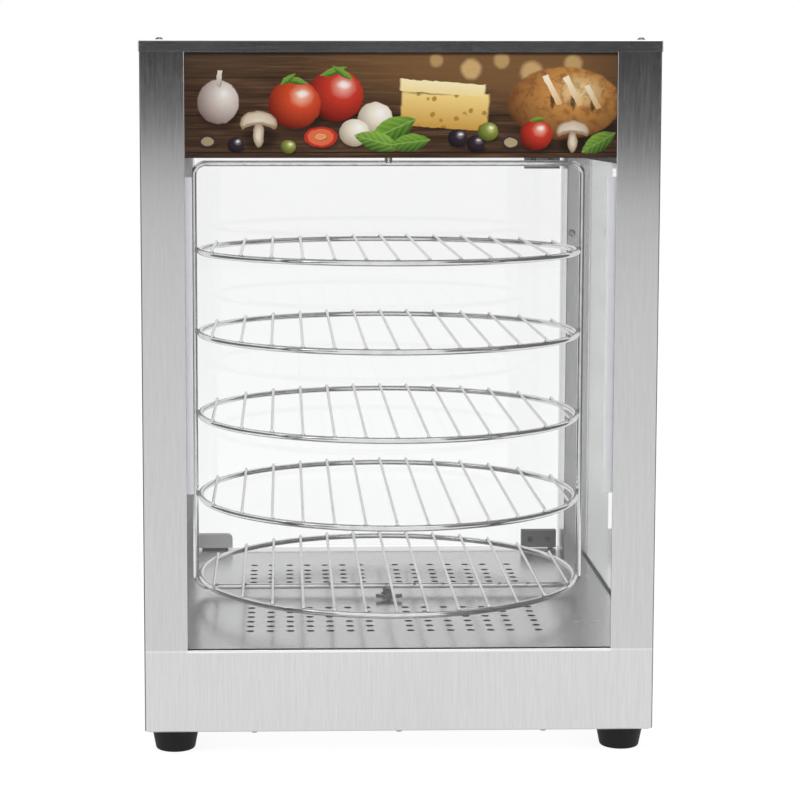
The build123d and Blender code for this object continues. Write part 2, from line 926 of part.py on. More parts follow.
def element_clips():
    """Clips that stand the element on its tray."""
    low = tray_floor + sheet
    high = element_level + element_radius + clip_wall
    hole = element_radius + running_gap
    clips = []
    for side in (-1, 1):
        x = side * clip_front_x
        clip = block(
            x - clip_length / 2,
            x + clip_length / 2,
            element_front - clip_width / 2,
            element_front + clip_width / 2,
            low,
            high,
        )
        clips.append(clip - along_x(element_front, element_level, x - clip_length, x + clip_length, hole))
        edge = side * element_half_width
        clip = block(
            edge - clip_width / 2,
            edge + clip_width / 2,
            clip_side_y - clip_length / 2,
            clip_side_y + clip_length / 2,
            low,
            high,
        )
        bore = along_y(edge, element_level, clip_side_y - clip_length, clip_side_y + clip_length, hole)
        clips.append(clip - bore)
    return group(clips)


# Lamps

def lamp_housing():
    """White light bar behind the right front post."""
    x1 = front_opening + lamp_width - lamp_reach
    y0 = front_glass_outer + glass + lamp_to_glass
    return block(x1 - lamp_width, x1, y0, y0 + lamp_body_depth, lamp_bottom, lamp_bottom + lamp_length)


def lamp_lens():
    """Frosted lens on the inner face of the light bar."""
    x1 = front_opening + lamp_width - lamp_reach
    y0 = front_glass_outer + glass + lamp_to_glass + lamp_body_depth
    lens = block(x1 - lamp_width, x1, y0, y0 + lamp_lens_depth, lamp_bottom, lamp_bottom + lamp_length)
    back = lens.edges().filter_by(Axis.Z).group_by(Axis.Y)[-1]
    return fillet(back, lamp_lens_round)


def lamp_brackets():
    """Tabs that hold the light bars to the sides of the front posts."""
    x0 = front_opening + lamp_width - lamp_reach
    y0 = front_glass_outer + glass + lamp_to_glass
    tabs = []
    for z in (lamp_bottom, lamp_bottom + lamp_length - lamp_tab):
        tab = block(x0, half_width - sheet, y0, y0 + sheet, z, z + lamp_tab)
        tabs += [tab, mirrored(tab)]
    return group(tabs)


# Rear door

def door_glass():
    """Swinging rear pane."""
    return block(
        -door_half, door_half, door_y - door_sheet / 2, door_y + door_sheet / 2, door_low, door_high
    ) - [hole for clamp in (door_low, door_high) for hole in clamp_screw_holes(clamp)]


def clamp_levels(edge):
    """Lowest and highest level of the clamp on the door's lower or upper edge."""
    if edge == door_low:
        return door_low - clamp_sole, door_low - clamp_sole + clamp_height
    return door_high + clamp_sole - clamp_height, door_high + clamp_sole


def clamp_screw_x():
    """Where the two screws of a clamp stand."""
    middle = rear_opening - clamp_edge_gap - clamp_length / 2
    return (middle - clamp_screw_spacing / 2, middle + clamp_screw_spacing / 2)


def clamp_screw_holes(edge):
    """Holes through the door for one clamp's screws."""
    z0, z1 = clamp_levels(edge)
    middle = (z0 + z1) / 2
    radius = clamp_screw_radius + screw_hole_gap
    y0 = door_y - clamp_thickness
    y1 = door_y + clamp_thickness
    return [along_y(x, middle, y0, y1, radius) for x in clamp_screw_x()]


def door_clamps():
    """Clamps on the door's lower and upper hinge corners, each with its pivot pin."""
    x1 = rear_opening - clamp_edge_gap
    pieces = []
    for edge in (door_low, door_high):
        z0, z1 = clamp_levels(edge)
        body = block(
            x1 - clamp_length, x1, door_y - clamp_thickness / 2, door_y + clamp_thickness / 2, z0, z1
        )
        slot_half = door_sheet / 2 + clamp_slot_gap
        body -= block(
            x1 - clamp_length - hem,
            x1 + hem,
            door_y - slot_half,
            door_y + slot_half,
            door_low if edge == door_low else z0 - hem,
            z1 + hem if edge == door_low else door_high,
        )
        body -= clamp_screw_holes(edge)
        if edge == door_low:
            pin_low = base_top - sheet - hinge_block_height
            pin = upright(hinge_x, door_y, pin_low, z0 + weld, door_pin_radius)
        else:
            pin = upright(hinge_x, door_y, z1 - weld, ceiling_bottom + hinge_block_height, door_pin_radius)
        pieces.append(body + pin)
    return group(pieces)


def door_clamp_screws():
    """Screws through both clamps, heads towards the warm space."""
    screws = []
    front = door_y - clamp_thickness / 2
    for edge in (door_low, door_high):
        z0, z1 = clamp_levels(edge)
        middle = (z0 + z1) / 2
        for x in clamp_screw_x():
            shank = along_y(x, middle, front, door_y + clamp_thickness / 2, clamp_screw_radius)
            screws.append(shank + along_y(x, middle, front - clamp_head, front, clamp_head_radius))
    return group(screws)


def hinge_blocks():
    """Bearing blocks under the sill and over the shelf for the door's pins."""
    pieces = []
    for low in (base_top - sheet - hinge_block_height, ceiling_bottom):
        piece = block(
            hinge_x - hinge_block_width / 2,
            min(hinge_x + hinge_block_width / 2, rear_opening - joint_gap),
            door_y - hinge_block_depth / 2,
            door_y + hinge_block_depth / 2,
            low,
            low + hinge_block_height,
        )
        high = low + hinge_block_height
        bore = upright(hinge_x, door_y, low - hem, high + hem, door_pin_radius + running_gap)
        pieces.append(piece - bore)
    return group(pieces)


def door_pull():
    """Steel clip on the door's free lower corner: strike for the magnet and finger lip."""
    x0 = -door_half - sheet
    x1 = x0 + pull_width
    z0 = base_top + pull_gap
    z1 = z0 + pull_height
    points = [(x0, z0), (x1, z0), (x1, z1), (x0, z1)]
    face = Plane.XZ * outline(points, [((x1, z1), pull_corner)])
    body = Pos(0, door_y - pull_thickness / 2, 0) * extrude(face, pull_thickness, dir=(0, 1, 0))
    slot_half = door_sheet / 2 + running_gap
    slot_x = -door_half - running_gap
    body -= block(slot_x, x1 + hem, door_y - slot_half, door_y + slot_half, door_low, z1 + hem)
    back = door_y + pull_thickness / 2
    lip = block(x0, x1, back, back + pull_lip, z0, z0 + pull_lip_thickness)
    lip = fillet(lip.edges().filter_by(Axis.Z).group_by(Axis.Y)[-1], pull_corner)
    return body + lip


def door_magnet():
    """Bar magnet on the sill just under the door's steel clip."""
    x0 = -door_half - sheet + (pull_width - magnet_length) / 2
    return block(
        x0,
        x0 + magnet_length,
        door_y - magnet_width / 2,
        door_y + magnet_width / 2,
        base_top,
        base_top + pull_gap - joint_gap,
    )


# Controls

def thermostat_knob():
    """Round knob with a skirt, a pointer groove and its spindle."""
    low = rear_y + knob_gap
    knob = along_y(knob_x, control_z, low, low + knob_skirt, knob_radius)
    knob += along_y(knob_x, control_z, low, low + knob_height, knob_grip_radius)
    rim = knob.edges().filter_by(GeomType.CIRCLE).group_by(Axis.Y)[-1]
    knob = fillet(rim, knob_skirt / 2)
    top = low + knob_height
    knob -= block(
        knob_x - pointer_width / 2,
        knob_x + pointer_width / 2,
        top - pointer_depth,
        top + hem,
        control_z + spindle_radius,
        control_z + knob_grip_radius,
    )
    start = rear_y - sheet - spindle_engagement
    return knob + along_y(knob_x, control_z, start, low + knob_skirt, spindle_radius)


def thermostat():
    """Thermostat body behind the control panel."""
    half = thermostat_size / 2
    y1 = rear_y - sheet
    body = block(
        knob_x - half, knob_x + half, y1 - thermostat_depth, y1, control_z - half, control_z + half
    )
    bore_start = y1 - spindle_engagement - sheet
    return body - along_y(knob_x, control_z, bore_start, rear_y, spindle_radius + running_gap)


def switch_bodies():
    """Snap-in housings of the two rocker switches."""
    bodies = []
    pivot = rear_y + rocker_pivot_depth
    for x in (switch_x_light, switch_x_motor):
        half_x = switch_bezel_width / 2
        half_z = switch_bezel_height / 2
        low = control_z - half_z
        high = control_z + half_z
        bezel = block(x - half_x, x + half_x, rear_y, rear_y + switch_bezel, low, high)
        half_x -= switch_body_inset
        low += switch_body_inset
        high -= switch_body_inset
        body = block(x - half_x, x + half_x, rear_y - switch_body_depth, rear_y, low, high)
        well = rocker_width / 2 + rocker_gap
        cut = along_x(pivot, control_z, x - well, x + well, rocker_radius + rocker_gap)
        bodies.append(bezel + body - cut)
    return group(bodies)


def rocker(x):
    """Rocker of one switch, resting on its off side."""
    barrel = along_x(0, 0, x - rocker_width / 2, x + rocker_width / 2, rocker_radius)
    size = 2 * (rocker_radius + rocker_width)
    barrel -= Pos(x, rocker_face + size / 2, 0) * Box(size, size, size)
    return Pos(0, rear_y + rocker_pivot_depth, control_z) * Rot(-rocker_tilt, 0, 0) * barrel


def pilot_lamp():
    """Small neon in the control panel."""
    lens = along_y(pilot_x, control_z, rear_y, rear_y + pilot_radius, pilot_radius + sheet)
    lens &= Pos(pilot_x, rear_y, control_z) * Sphere(pilot_radius + sheet)
    return lens + along_y(pilot_x, control_z, rear_y - pilot_body_depth, rear_y, pilot_body_radius)


def cord_gland():
    """Gland in the control panel for a mains cord."""
    gland = along_y(gland_x, control_z, rear_y, rear_y + gland_collar, gland_collar_radius)
    gland += along_y(gland_x, control_z, rear_y - sheet - gland_nut, rear_y, gland_thread_radius)
    inner = rear_y - sheet
    gland += along_y(gland_x, control_z, inner - gland_nut, inner, gland_collar_radius)
    bore = along_y(gland_x, control_z, inner - gland_nut - hem, rear_y + gland_collar + hem, gland_bore)
    return gland - bore


def terminal_block():
    """Screw terminals on the bottom cover behind the gland."""
    y1 = rear_y - flange_width - terminal_setback
    return block(
        gland_x - terminal_length / 2,
        gland_x + terminal_length / 2,
        y1 - terminal_width,
        y1,
        base_bottom,
        base_bottom + terminal_height,
    )


# Feet and screws

def feet():
    """Four tapered rubber feet with a screw recess underneath."""
    foot = Pos(0, 0, foot_height / 2) * Cone(foot_base_radius, foot_top_radius, foot_height)
    foot = fillet(foot.edges().filter_by(GeomType.CIRCLE).sort_by(Axis.Z)[0], foot_edge_round)
    foot -= upright(0, 0, -hem, foot_recess_depth, foot_recess_radius)
    foot -= upright(0, 0, -hem, foot_height + hem, foot_screw_radius + screw_hole_gap)
    return group([Pos(x, y, 0) * foot for x, y in foot_places()])


def foot_screws():
    """Screws that hold the feet to the base."""
    seat = foot_recess_depth
    screw = upright(0, 0, seat - foot_screw_head, seat, foot_screw_head_radius)
    screw += upright(0, 0, seat, base_bottom + foot_screw_rise, foot_screw_radius)
    return group([Pos(x, y, 0) * screw for x, y in foot_places()])


def lid_screws():
    """Four dome screws on the lid."""
    screw = dome_screw(screw_length)
    return group([Pos(x, y, cabinet_height) * screw for x, y in lid_screw_places()])


def panel_screws():
    """Dome screws under the base, on the control panel and on the rear posts."""
    screw = dome_screw(screw_length)
    under = Rot(180, 0, 0) * screw
    back = Rot(-90, 0, 0) * screw
    inward = Rot(90, 0, 0) * screw
    screws = [Pos(x, y, foot_height) * under for x, y in cover_screw_places()]
    screws += [Pos(x, rear_y, z) * back for x, z in panel_screw_places()]
    face_x = rear_opening + post_screw_x
    screws += [Pos(side * face_x, rear_post_y, post_screw_z) * inward for side in (-1, 1)]
    return group(screws)


def build():
    """Every node of the display case by name."""
    post = front_post()
    back_post = rear_post()
    side_panel = base_side_panel()
    upper_side = upper_side_panel()
    side_pane = side_glass()
    housing = lamp_housing()
    lens = lamp_lens()
    nodes = {
        "base_front_panel": base_front_panel(),
        "base_side_right": side_panel,
        "base_side_left": mirrored(side_panel),
        "rear_control_panel": rear_control_panel(),
        "bottom_cover": bottom_cover(),
        "floor_deck": floor_deck(),
        "door_sill": door_sill(),
        "post_front_right": post,
        "post_front_left": mirrored(post),
        "post_rear_right": back_post,
        "post_rear_left": mirrored(back_post),
        "header_panel": header_panel(),
        "header_graphic": header_graphic(),
        "upper_side_right": upper_side,
        "upper_side_left": mirrored(upper_side),
        "upper_rear_panel": upper_rear_panel(),
        "ceiling_panel": ceiling_panel(),
        "lid": lid(),
        "front_glass": front_glass(),
        "side_glass_right": side_pane,
        "side_glass_left": mirrored(side_pane),
        "glass_seals": glass_seals(),
        "lamp_housing_right": housing,
        "lamp_housing_left": mirrored(housing),
        "lamp_lenses": group([lens, mirrored(lens)]),
        "lamp_brackets": lamp_brackets(),
        "feet": feet(),
        "foot_screws": foot_screws(),
        "lid_screws": lid_screws(),
        "panel_screws": panel_screws(),
        "heating_element": heating_element(),
        "element_clips": element_clips(),
        "heat_tray": heat_tray(),
        "gear_motor": gear_motor(),
        "motor_bracket": motor_bracket(),
        "carousel_bush": carousel_bush(),
        "thermostat": thermostat(),
        "switch_bodies": switch_bodies(),
        "pilot_lamp": pilot_lamp(),
        "cord_gland": cord_gland(),
        "terminal_block": terminal_block(),
        "hinge_blocks": hinge_blocks(),
        "door_magnet": door_magnet(),
        "carousel_frame": carousel_frame(),
        "drive_hub": drive_hub(),
        "drive_shaft": drive_shaft(),
        "wing_screw": wing_screw(),
        "top_pivot_pin": top_pivot_pin(),
        "door_glass": door_glass(),
        "door_clamps": door_clamps(),
        "door_clamp_screws": door_clamp_screws(),
        "door_pull": door_pull(),
        "thermostat_knob": thermostat_knob(),
        "light_switch_rocker": rocker(switch_x_light),
        "motor_switch_rocker": rocker(switch_x_motor),
    }
    for index, level in enumerate(tier_levels):
        nodes[f"rack_{index + 1}"] = rack(level)
    return nodes


os.makedirs("parts", exist_ok=True)
for name, piece in build().items():
    export_step(Pos(0, origin_shift, 0) * piece, f"parts/{name}.step")
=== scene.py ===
import logging
import math
import random
from dataclasses import dataclass
from enum import Enum
from typing import Dict, List, Optional, Sequence, Tuple, Union

import bmesh
import bpy
from mathutils import Matrix, Vector


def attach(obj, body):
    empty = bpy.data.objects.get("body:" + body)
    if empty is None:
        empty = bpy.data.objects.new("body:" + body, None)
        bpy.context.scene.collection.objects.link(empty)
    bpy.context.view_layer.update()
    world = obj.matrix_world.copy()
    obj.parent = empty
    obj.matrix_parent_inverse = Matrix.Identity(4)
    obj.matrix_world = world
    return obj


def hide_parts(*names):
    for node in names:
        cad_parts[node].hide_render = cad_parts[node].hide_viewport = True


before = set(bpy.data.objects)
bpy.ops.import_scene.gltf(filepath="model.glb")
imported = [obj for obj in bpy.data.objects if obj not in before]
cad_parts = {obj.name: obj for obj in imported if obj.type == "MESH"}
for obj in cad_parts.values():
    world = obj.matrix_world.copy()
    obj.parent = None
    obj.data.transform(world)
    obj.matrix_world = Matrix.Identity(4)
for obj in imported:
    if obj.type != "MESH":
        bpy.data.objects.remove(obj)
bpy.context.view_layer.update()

MM = 0.001
SHARP_ANGLE = 40.0
CONTROL_Z = 60.5
PANEL_Y = 231.0
LOG = logging.getLogger("display_case")

Colour = Tuple[float, float, float]
Point = Tuple[float, float, float]
Flat = Tuple[float, float]

PAINTED_HIGHLIGHT: Colour = (0.96, 0.96, 0.96)
PAINTED_SHADE: Colour = (0.03, 0.03, 0.03)
CLOUDED: Colour = (0.55, 0.55, 0.56)
FULL: Colour = (1.0, 1.0, 1.0)


class Body(Enum):
    """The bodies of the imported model."""

    CABINET = "cabinet"
    CAROUSEL = "carousel"
    DOOR = "door"
    KNOB = "temperature_knob"
    LIGHT_ROCKER = "light_rocker"
    MOTOR_ROCKER = "motor_rocker"


class Grain(Enum):
    """The direction in which a sheet was brushed, as how fast its streaks change along X, Y and Z."""

    UPRIGHT = (1.0, 1.0, 0.03)
    ACROSS = (0.03, 1.0, 1.0)
    DEEP = (1.0, 0.03, 1.0)


class Value:
    """A number in a shader. Sums on it add Math nodes."""

    def __init__(self, tree: "ShaderTree", socket: bpy.types.NodeSocket) -> None:
        """Keeps the tree and the output socket that the number comes from."""
        self.tree = tree
        self.socket = socket

    def __add__(self, other: "Number") -> "Value":
        """The sum."""
        return self.tree.maths("ADD", self, other)

    def __radd__(self, other: "Number") -> "Value":
        """The sum, the other way round."""
        return self.tree.maths("ADD", other, self)

    def __sub__(self, other: "Number") -> "Value":
        """The difference."""
        return self.tree.maths("SUBTRACT", self, other)

    def __rsub__(self, other: "Number") -> "Value":
        """The difference, the other way round."""
        return self.tree.maths("SUBTRACT", other, self)

    def __mul__(self, other: "Number") -> "Value":
        """The product."""
        return self.tree.maths("MULTIPLY", self, other)

    def __rmul__(self, other: "Number") -> "Value":
        """The product, the other way round."""
        return self.tree.maths("MULTIPLY", other, self)

    def __abs__(self) -> "Value":
        """The number without its sign."""
        return self.tree.maths("ABSOLUTE", self)

    def most(self, other: "Number") -> "Value":
        """The larger of the two."""
        return self.tree.maths("MAXIMUM", self, other)

    def fade(self, low: float, high: float) -> "Value":
        """0 at low and 1 at high, smooth between them and even outside."""
        settings = {"interpolation_type": "SMOOTHSTEP"}
        return self.tree.add("ShaderNodeMapRange", settings, {0: self, 1: low, 2: high})


Number = Union[float, Value]


class ShaderTree:
    """The nodes of one material or world."""

    def __init__(self, owner: Union[bpy.types.Material, bpy.types.World]) -> None:
        """Empties the owner's tree.

        Args:
            owner: the material or world whose nodes these are.
        """
        owner.use_nodes = True
        self.nodes = owner.node_tree.nodes
        self.links = owner.node_tree.links
        self.nodes.clear()
        world = isinstance(owner, bpy.types.World)
        self.output = self.nodes.new("ShaderNodeOutputWorld" if world else "ShaderNodeOutputMaterial")

    def add(
        self,
        kind: str,
        settings: Optional[Dict[str, object]] = None,
        sockets: Optional[Dict[Union[int, str], object]] = None,
        out: Union[int, str] = 0,
    ) -> Value:
        """Adds any node.

        Args:
            kind: the node's type.
            settings: its own settings, set first. "stops" are a ramp's positions and colours.
            sockets: values or links of its input sockets, by name or number.
            out: the output socket wanted.

        Returns:
            That output socket.
        """
        node = self.nodes.new(kind)
        for name, value in (settings or {}).items():
            if name == "stops":
                self._set_stops(node.color_ramp, value)
            else:
                setattr(node, name, value)
        for key, value in (sockets or {}).items():
            if isinstance(value, Value):
                self.links.new(value.socket, node.inputs[key])
            else:
                node.inputs[key].default_value = value
        return Value(self, node.outputs[out])

    @staticmethod
    def _set_stops(ramp: bpy.types.ColorRamp, stops: Sequence[Tuple[float, Colour]]) -> None:
        """Puts positions and colours on a ramp.

        Args:
            ramp: the ramp.
            stops: its positions and their colours.
        """
        while len(ramp.elements) < len(stops):
            ramp.elements.new(1.0)
        for element, (position, colour) in zip(ramp.elements, stops):
            element.position = position
            element.color = (*colour, 1.0)

    def place(self) -> Value:
        """The point on the piece, in its own metres."""
        return self.add("ShaderNodeTexCoord", out="Object")

    def axis(self, vector: Value, name: str) -> Value:
        """One of a vector's three numbers."""
        return self.add("ShaderNodeSeparateXYZ", {}, {0: vector}, name)

    def maths(self, operation: str, *numbers: Number) -> Value:
        """The result of one Math node."""
        return self.add("ShaderNodeMath", {"operation": operation}, dict(enumerate(numbers)))

    def vector(self, operation: str, *inputs: object, out: Union[int, str] = 0) -> Value:
        """One result of a Vector Math node."""
        return self.add("ShaderNodeVectorMath", {"operation": operation}, dict(enumerate(inputs)), out)

    def scaled(self, vector: Value, factors: Point) -> Value:
        """A vector times three factors."""
        return self.vector("MULTIPLY", vector, factors)

    def noise(self, vector: Value, scale: float, detail: float = 2.0, rough: float = 0.5) -> Value:
        """Soft noise about 0.5: scale in lumps to the metre, finer layers over it and their strength."""
        sockets = {"Vector": vector, "Scale": scale, "Detail": detail, "Roughness": rough}
        return self.add("ShaderNodeTexNoise", {}, sockets, "Fac")

    def blend(self, share: Number, first: object, second: object) -> Value:
        """A colour between two, with so much of the second."""
        sockets = {0: share, 6: self._rgba(first), 7: self._rgba(second)}
        return self.add("ShaderNodeMix", {"data_type": "RGBA", "clamp_factor": True}, sockets, 2)

    @staticmethod
    def _rgba(colour: object) -> object:
        """A plain colour with its alpha, or the link as it is."""
        return colour if isinstance(colour, Value) else (*colour, 1.0)

    def bump(self, height: Value, depth: float) -> Value:
        """A normal bent by a height from 0 to 1, depth metres high."""
        return self.add("ShaderNodeBump", {}, {"Strength": 1.0, "Distance": depth, "Height": height})

    def principled(self, sockets: Dict[str, object]) -> Value:
        """The general surface shader with these inputs."""
        return self.add("ShaderNodeBsdfPrincipled", {}, sockets)

    def mixed(self, share: Value, first: Value, second: Value) -> Value:
        """A shader between two, with so much of the second."""
        return self.add("ShaderNodeMixShader", {}, {0: share, 1: first, 2: second})

    def surface(self, shader: Value) -> None:
        """Makes the shader the one that shows."""
        self.links.new(shader.socket, self.output.inputs["Surface"])


@dataclass(frozen=True)
class Finish:
    """A finish with a material of its own."""

    name: str

    def material(self) -> bpy.types.Material:
        """Makes the material the first time.

        Returns:
            The material.
        """
        made = bpy.data.materials.get(self.name)
        if made is None:
            made = bpy.data.materials.new(self.name)
            tree = ShaderTree(made)
            tree.surface(self.shader(tree))
        return made

    def shader(self, tree: ShaderTree) -> Value:
        """The finish's shader, in that tree."""
        raise NotImplementedError


@dataclass(frozen=True)
class BrushedSheet(Finish):
    """Sheet steel brushed one way, with fine streaks, a little handling wear, and on some sheets a painted highlight
    along the top fold and painted shade on the outer front bends.
    """

    tone: Colour = (0.68, 0.68, 0.682)
    grain: Grain = Grain.UPRIGHT
    roughness: float = 0.20
    streak: float = 0.06
    depth: float = 0.000012
    brushed: float = 0.0
    fine_scale: float = 1500.0
    broad_scale: float = 420.0
    cloud_scale: float = 7.0
    wear_scale: float = 38.0
    highlight_band: Optional[Flat] = None
    highlight_share: float = 0.75
    highlight_loss: float = 0.6
    window: Flat = (0.1985, 0.2000)
    bend_shade_x: Optional[Flat] = None
    bend_shade_y: Flat = (-0.2462, -0.2472)
    bend_shade_share: float = 0.9

    def shader(self, tree: ShaderTree) -> Value:
        """Metal whose colour, roughness and relief follow the streaks, with any painted highlight and painted shade
        laid on the colour.

        Args:
            tree: the material's nodes.

        Returns:
            The shader.
        """
        place = tree.place()
        along = tree.scaled(place, self.grain.value)
        fine = tree.noise(along, self.fine_scale, 3.0, 0.65)
        broad = tree.noise(along, self.broad_scale)
        cloud = tree.noise(place, self.cloud_scale)
        rubbed = tree.noise(place, self.wear_scale, 4.0, 0.6)
        lines = fine * 0.8 + broad * 0.2
        dark = tuple(channel * (1.0 - self.streak) for channel in self.tone)
        light = tuple(min(1.0, channel * (1.0 + self.streak)) for channel in self.tone)
        colour = tree.blend(lines.fade(0.25, 0.75), dark, light)
        colour = tree.blend(cloud.fade(0.35, 0.7) * 0.10, colour, CLOUDED)
        # Painted highlight: a bright band along the top fold, weaker outside the window between the posts.
        if self.highlight_band:
            height = tree.axis(place, "Z")
            outer = self._outside(tree, place, *self.window)
            share = height.fade(*self.highlight_band) * (self.highlight_share - outer * self.highlight_loss)
            colour = tree.blend(share, colour, PAINTED_HIGHLIGHT)
        # Painted shade: the outer bends at the front are darkened.
        if self.bend_shade_x:
            colour = tree.blend(self._bend_shade(tree, place) * self.bend_shade_share, colour, PAINTED_SHADE)
        uneven = (lines - 0.5) * 0.10 + (cloud - 0.5) * 0.06 + rubbed.fade(0.55, 0.8) * 0.04
        sockets = {
            "Base Color": colour,
            "Metallic": 1.0,
            "Roughness": self.roughness + uneven,
            "Anisotropic": self.brushed,
            "Normal": tree.bump(lines, self.depth),
        }
        return tree.principled(sockets)

    def _bend_shade(self, tree: ShaderTree, place: Value) -> Value:
        """1 on the outer bends at the front, where painted shade darkens the steel, and 0 elsewhere."""
        back = tree.axis(place, "Y")
        return self._outside(tree, place, *self.bend_shade_x) * back.fade(*self.bend_shade_y)

    @staticmethod
    def _outside(tree: ShaderTree, place: Value, near: float, far: float) -> Value:
        """0 nearer to the middle plane than one distance, and 1 farther from it than the other."""
        across = tree.axis(place, "X")
        return across.fade(near, far).most(across.fade(-near, -far))


@dataclass(frozen=True)
class BrightSteel(Finish):
    """Plated wire or turned steel: smooth, with faint drawing marks."""

    tone: Colour = (0.78, 0.78, 0.79)
    roughness: float = 0.12
    spots: float = 0.06
    cloud_scale: float = 60.0
    pit_scale: float = 900.0
    pit_depth: float = 0.00001
    dull_share: float = 0.82
    rim: float = 1.0

    def shader(self, tree: ShaderTree) -> Value:
        """Metal with slightly uneven gloss.

        Args:
            tree: the material's nodes.

        Returns:
            The shader.
        """
        place = tree.place()
        cloud = tree.noise(place, self.cloud_scale, 3.0)
        pits = tree.noise(place, self.pit_scale)
        dull = tuple(channel * self.dull_share for channel in self.tone)
        sockets = {
            "Base Color": tree.blend(cloud.fade(0.45, 0.8), self.tone, dull),
            "Specular Tint": (self.rim, self.rim, self.rim, 1.0),
            "Metallic": 1.0,
            "Roughness": self.roughness + (cloud - 0.4) * self.spots + (pits - 0.5) * self.spots,
            "Normal": tree.bump(pits, self.pit_depth),
        }
        return tree.principled(sockets)


@dataclass(frozen=True)
class ZincSheet(Finish):
    """Galvanised sheet with its frosty crystals."""

    tone: Colour = (0.56, 0.58, 0.60)
    crystals: float = 90.0
    dark_share: float = 0.8

    def shader(self, tree: ShaderTree) -> Value:
        """Metal in patches of slightly different grey.

        Args:
            tree: the material's nodes.

        Returns:
            The shader.
        """
        place = tree.place()
        cells = tree.add("ShaderNodeTexVoronoi", {}, {"Vector": place, "Scale": self.crystals}, "Color")
        shade = tree.add("ShaderNodeSeparateColor", {}, {0: cells})
        dark = tuple(channel * self.dark_share for channel in self.tone)
        sockets = {
            "Base Color": tree.blend(shade, dark, self.tone),
            "Metallic": 1.0,
            "Roughness": 0.38 + shade * 0.18,
        }
        return tree.principled(sockets)


@dataclass(frozen=True)
class ClearPane(Finish):
    """Clear glass that lets the lamps through, with a few faint wipe marks."""

    tint: Colour = (0.950, 0.952, 0.952)
    wiped: Colour = (0.940, 0.943, 0.943)

    def shader(self, tree: ShaderTree) -> Value:
        """Glass, and nothing in the way of the lamps.

        Args:
            tree: the material's nodes.

        Returns:
            The shader.
        """
        marks = tree.noise(tree.scaled(tree.place(), (9.0, 9.0, 3.0)), 1.0, 3.0)
        sockets = {
            "Base Color": tree.blend(marks.fade(0.4, 0.8) * 0.5, self.tint, self.wiped),
            "Roughness": 0.0,
            "IOR": 1.45,
            "Transmission Weight": 1.0,
        }
        glass = tree.principled(sockets)
        open_air = tree.add("ShaderNodeBsdfTransparent", {}, {"Color": (*FULL, 1.0)})
        lamp_ray = tree.add("ShaderNodeLightPath", out="Is Shadow Ray")
        return tree.mixed(lamp_ray, glass, open_air)


@dataclass(frozen=True)
class Moulded(Finish):
    """Moulded plastic or rubber with a fine texture."""

    tone: Colour = (0.03, 0.03, 0.03)
    roughness: float = 0.5
    texture: float = 900.0
    mottle_scale: float = 45.0
    depth: float = 0.00004
    coat: float = 0.0
    glow: float = 0.0
    dust: float = 0.6
    shine: float = 0.5

    def shader(self, tree: ShaderTree) -> Value:
        """A plain colour with mottling, a grained surface and a little dust.

        Args:
            tree: the material's nodes.

        Returns:
            The shader.
        """
        place = tree.place()
        mottle = tree.noise(place, self.mottle_scale, 3.0)
        skin = tree.noise(place, self.texture)
        pale = tuple(channel + 0.03 + 0.06 * channel for channel in self.tone)
        sockets = {
            "Base Color": tree.blend(mottle.fade(0.4, 0.85) * self.dust, self.tone, pale),
            "Roughness": self.roughness + (mottle - 0.5) * 0.16,
            "Specular IOR Level": self.shine,
            "Coat Weight": self.coat,
            "Emission Color": (*self.tone, 1.0),
            "Emission Strength": self.glow,
            "Normal": tree.bump(skin, self.depth),
        }
        return tree.principled(sockets)


class Canvas:
    """A picture painted with shader nodes, back to front, in millimetres about the strip's middle."""

    tie = 1e-6

    def __init__(self, tree: ShaderTree, point: Value, ground: Value) -> None:
        """Starts the picture.

        Args:
            tree: the material's nodes.
            point: the point on the strip in millimetres, X across and Y up.
            ground: the first colour.
        """
        self.tree = tree
        self.point = point
        self.colour = ground

    def local(self, centre: Flat, radii: Flat, turn: float = 0.0) -> Value:
        """The point seen from a shape: its middle is 0 and its ends are 1 away.

        Args:
            centre: the shape's middle.
            radii: its half sizes.
            turn: its turn in degrees, anticlockwise.

        Returns:
            The point.
        """
        sockets = {
            "Vector": self.point,
            "Location": (*centre, 0.0),
            "Rotation": (0.0, 0.0, math.radians(turn)),
            "Scale": (*radii, 1.0),
        }
        return self.tree.add("ShaderNodeMapping", {"vector_type": "TEXTURE"}, sockets)

    def reach(self, centre: Flat, radii: Flat, turn: float = 0.0) -> Value:
        """How far out a point lies in an oval: 0 in the middle and 1 on the rim."""
        return self.tree.vector("LENGTH", self.local(centre, radii, turn), out="Value")

    def ramp(self, share: Value, *stops: Tuple[float, Colour]) -> Value:
        """A colour read off a ramp."""
        return self.tree.add("ShaderNodeValToRGB", {"stops": stops}, {0: share})

    def lay(self, share: Number, colour: object) -> None:
        """Lays a colour over the picture."""
        self.colour = self.tree.blend(share, self.colour, colour)

    def settle(self) -> None:
        """Ties what follows to what is painted, so that the motifs are worked out one after another."""
        self.point = self.tree.vector("MULTIPLY_ADD", self.colour, (self.tie,) * 3, self.point)

    def glow(self, centre: Flat, radii: Flat, colour: Colour, strength: float, soft: float = 0.5) -> None:
        """A soft patch of colour whose rim fades over a share of its size."""
        self.lay(self.reach(centre, radii).fade(1.0 + soft, 1.0 - soft) * strength, colour)


@dataclass(frozen=True)
class Motif:
    """One thing in the picture."""

    centre: Flat
    radii: Flat
    turn: float = 0.0
    soft: float = 0.035

    def shade(self, canvas: Canvas) -> None:
        """Paints the soft shadow that it throws on the table.

        Args:
            canvas: the picture.
        """
        x, y = self.centre
        wide, high = self.radii
        centre = (x + 0.10 * wide, y - 0.62 * high)
        canvas.lay(canvas.reach(centre, (1.12 * wide, 0.62 * high)).fade(1.15, 0.5) * 0.75, (0.008, 0.004, 0.002))

    def inside(self, reach: Value, size: float = 1.0) -> Value:
        """1 within a size and 0 beyond it, with the motif's soft rim."""
        return reach.fade(size + self.soft, size - self.soft)

    def paint(self, canvas: Canvas) -> None:
        """Paints it."""
        raise NotImplementedError


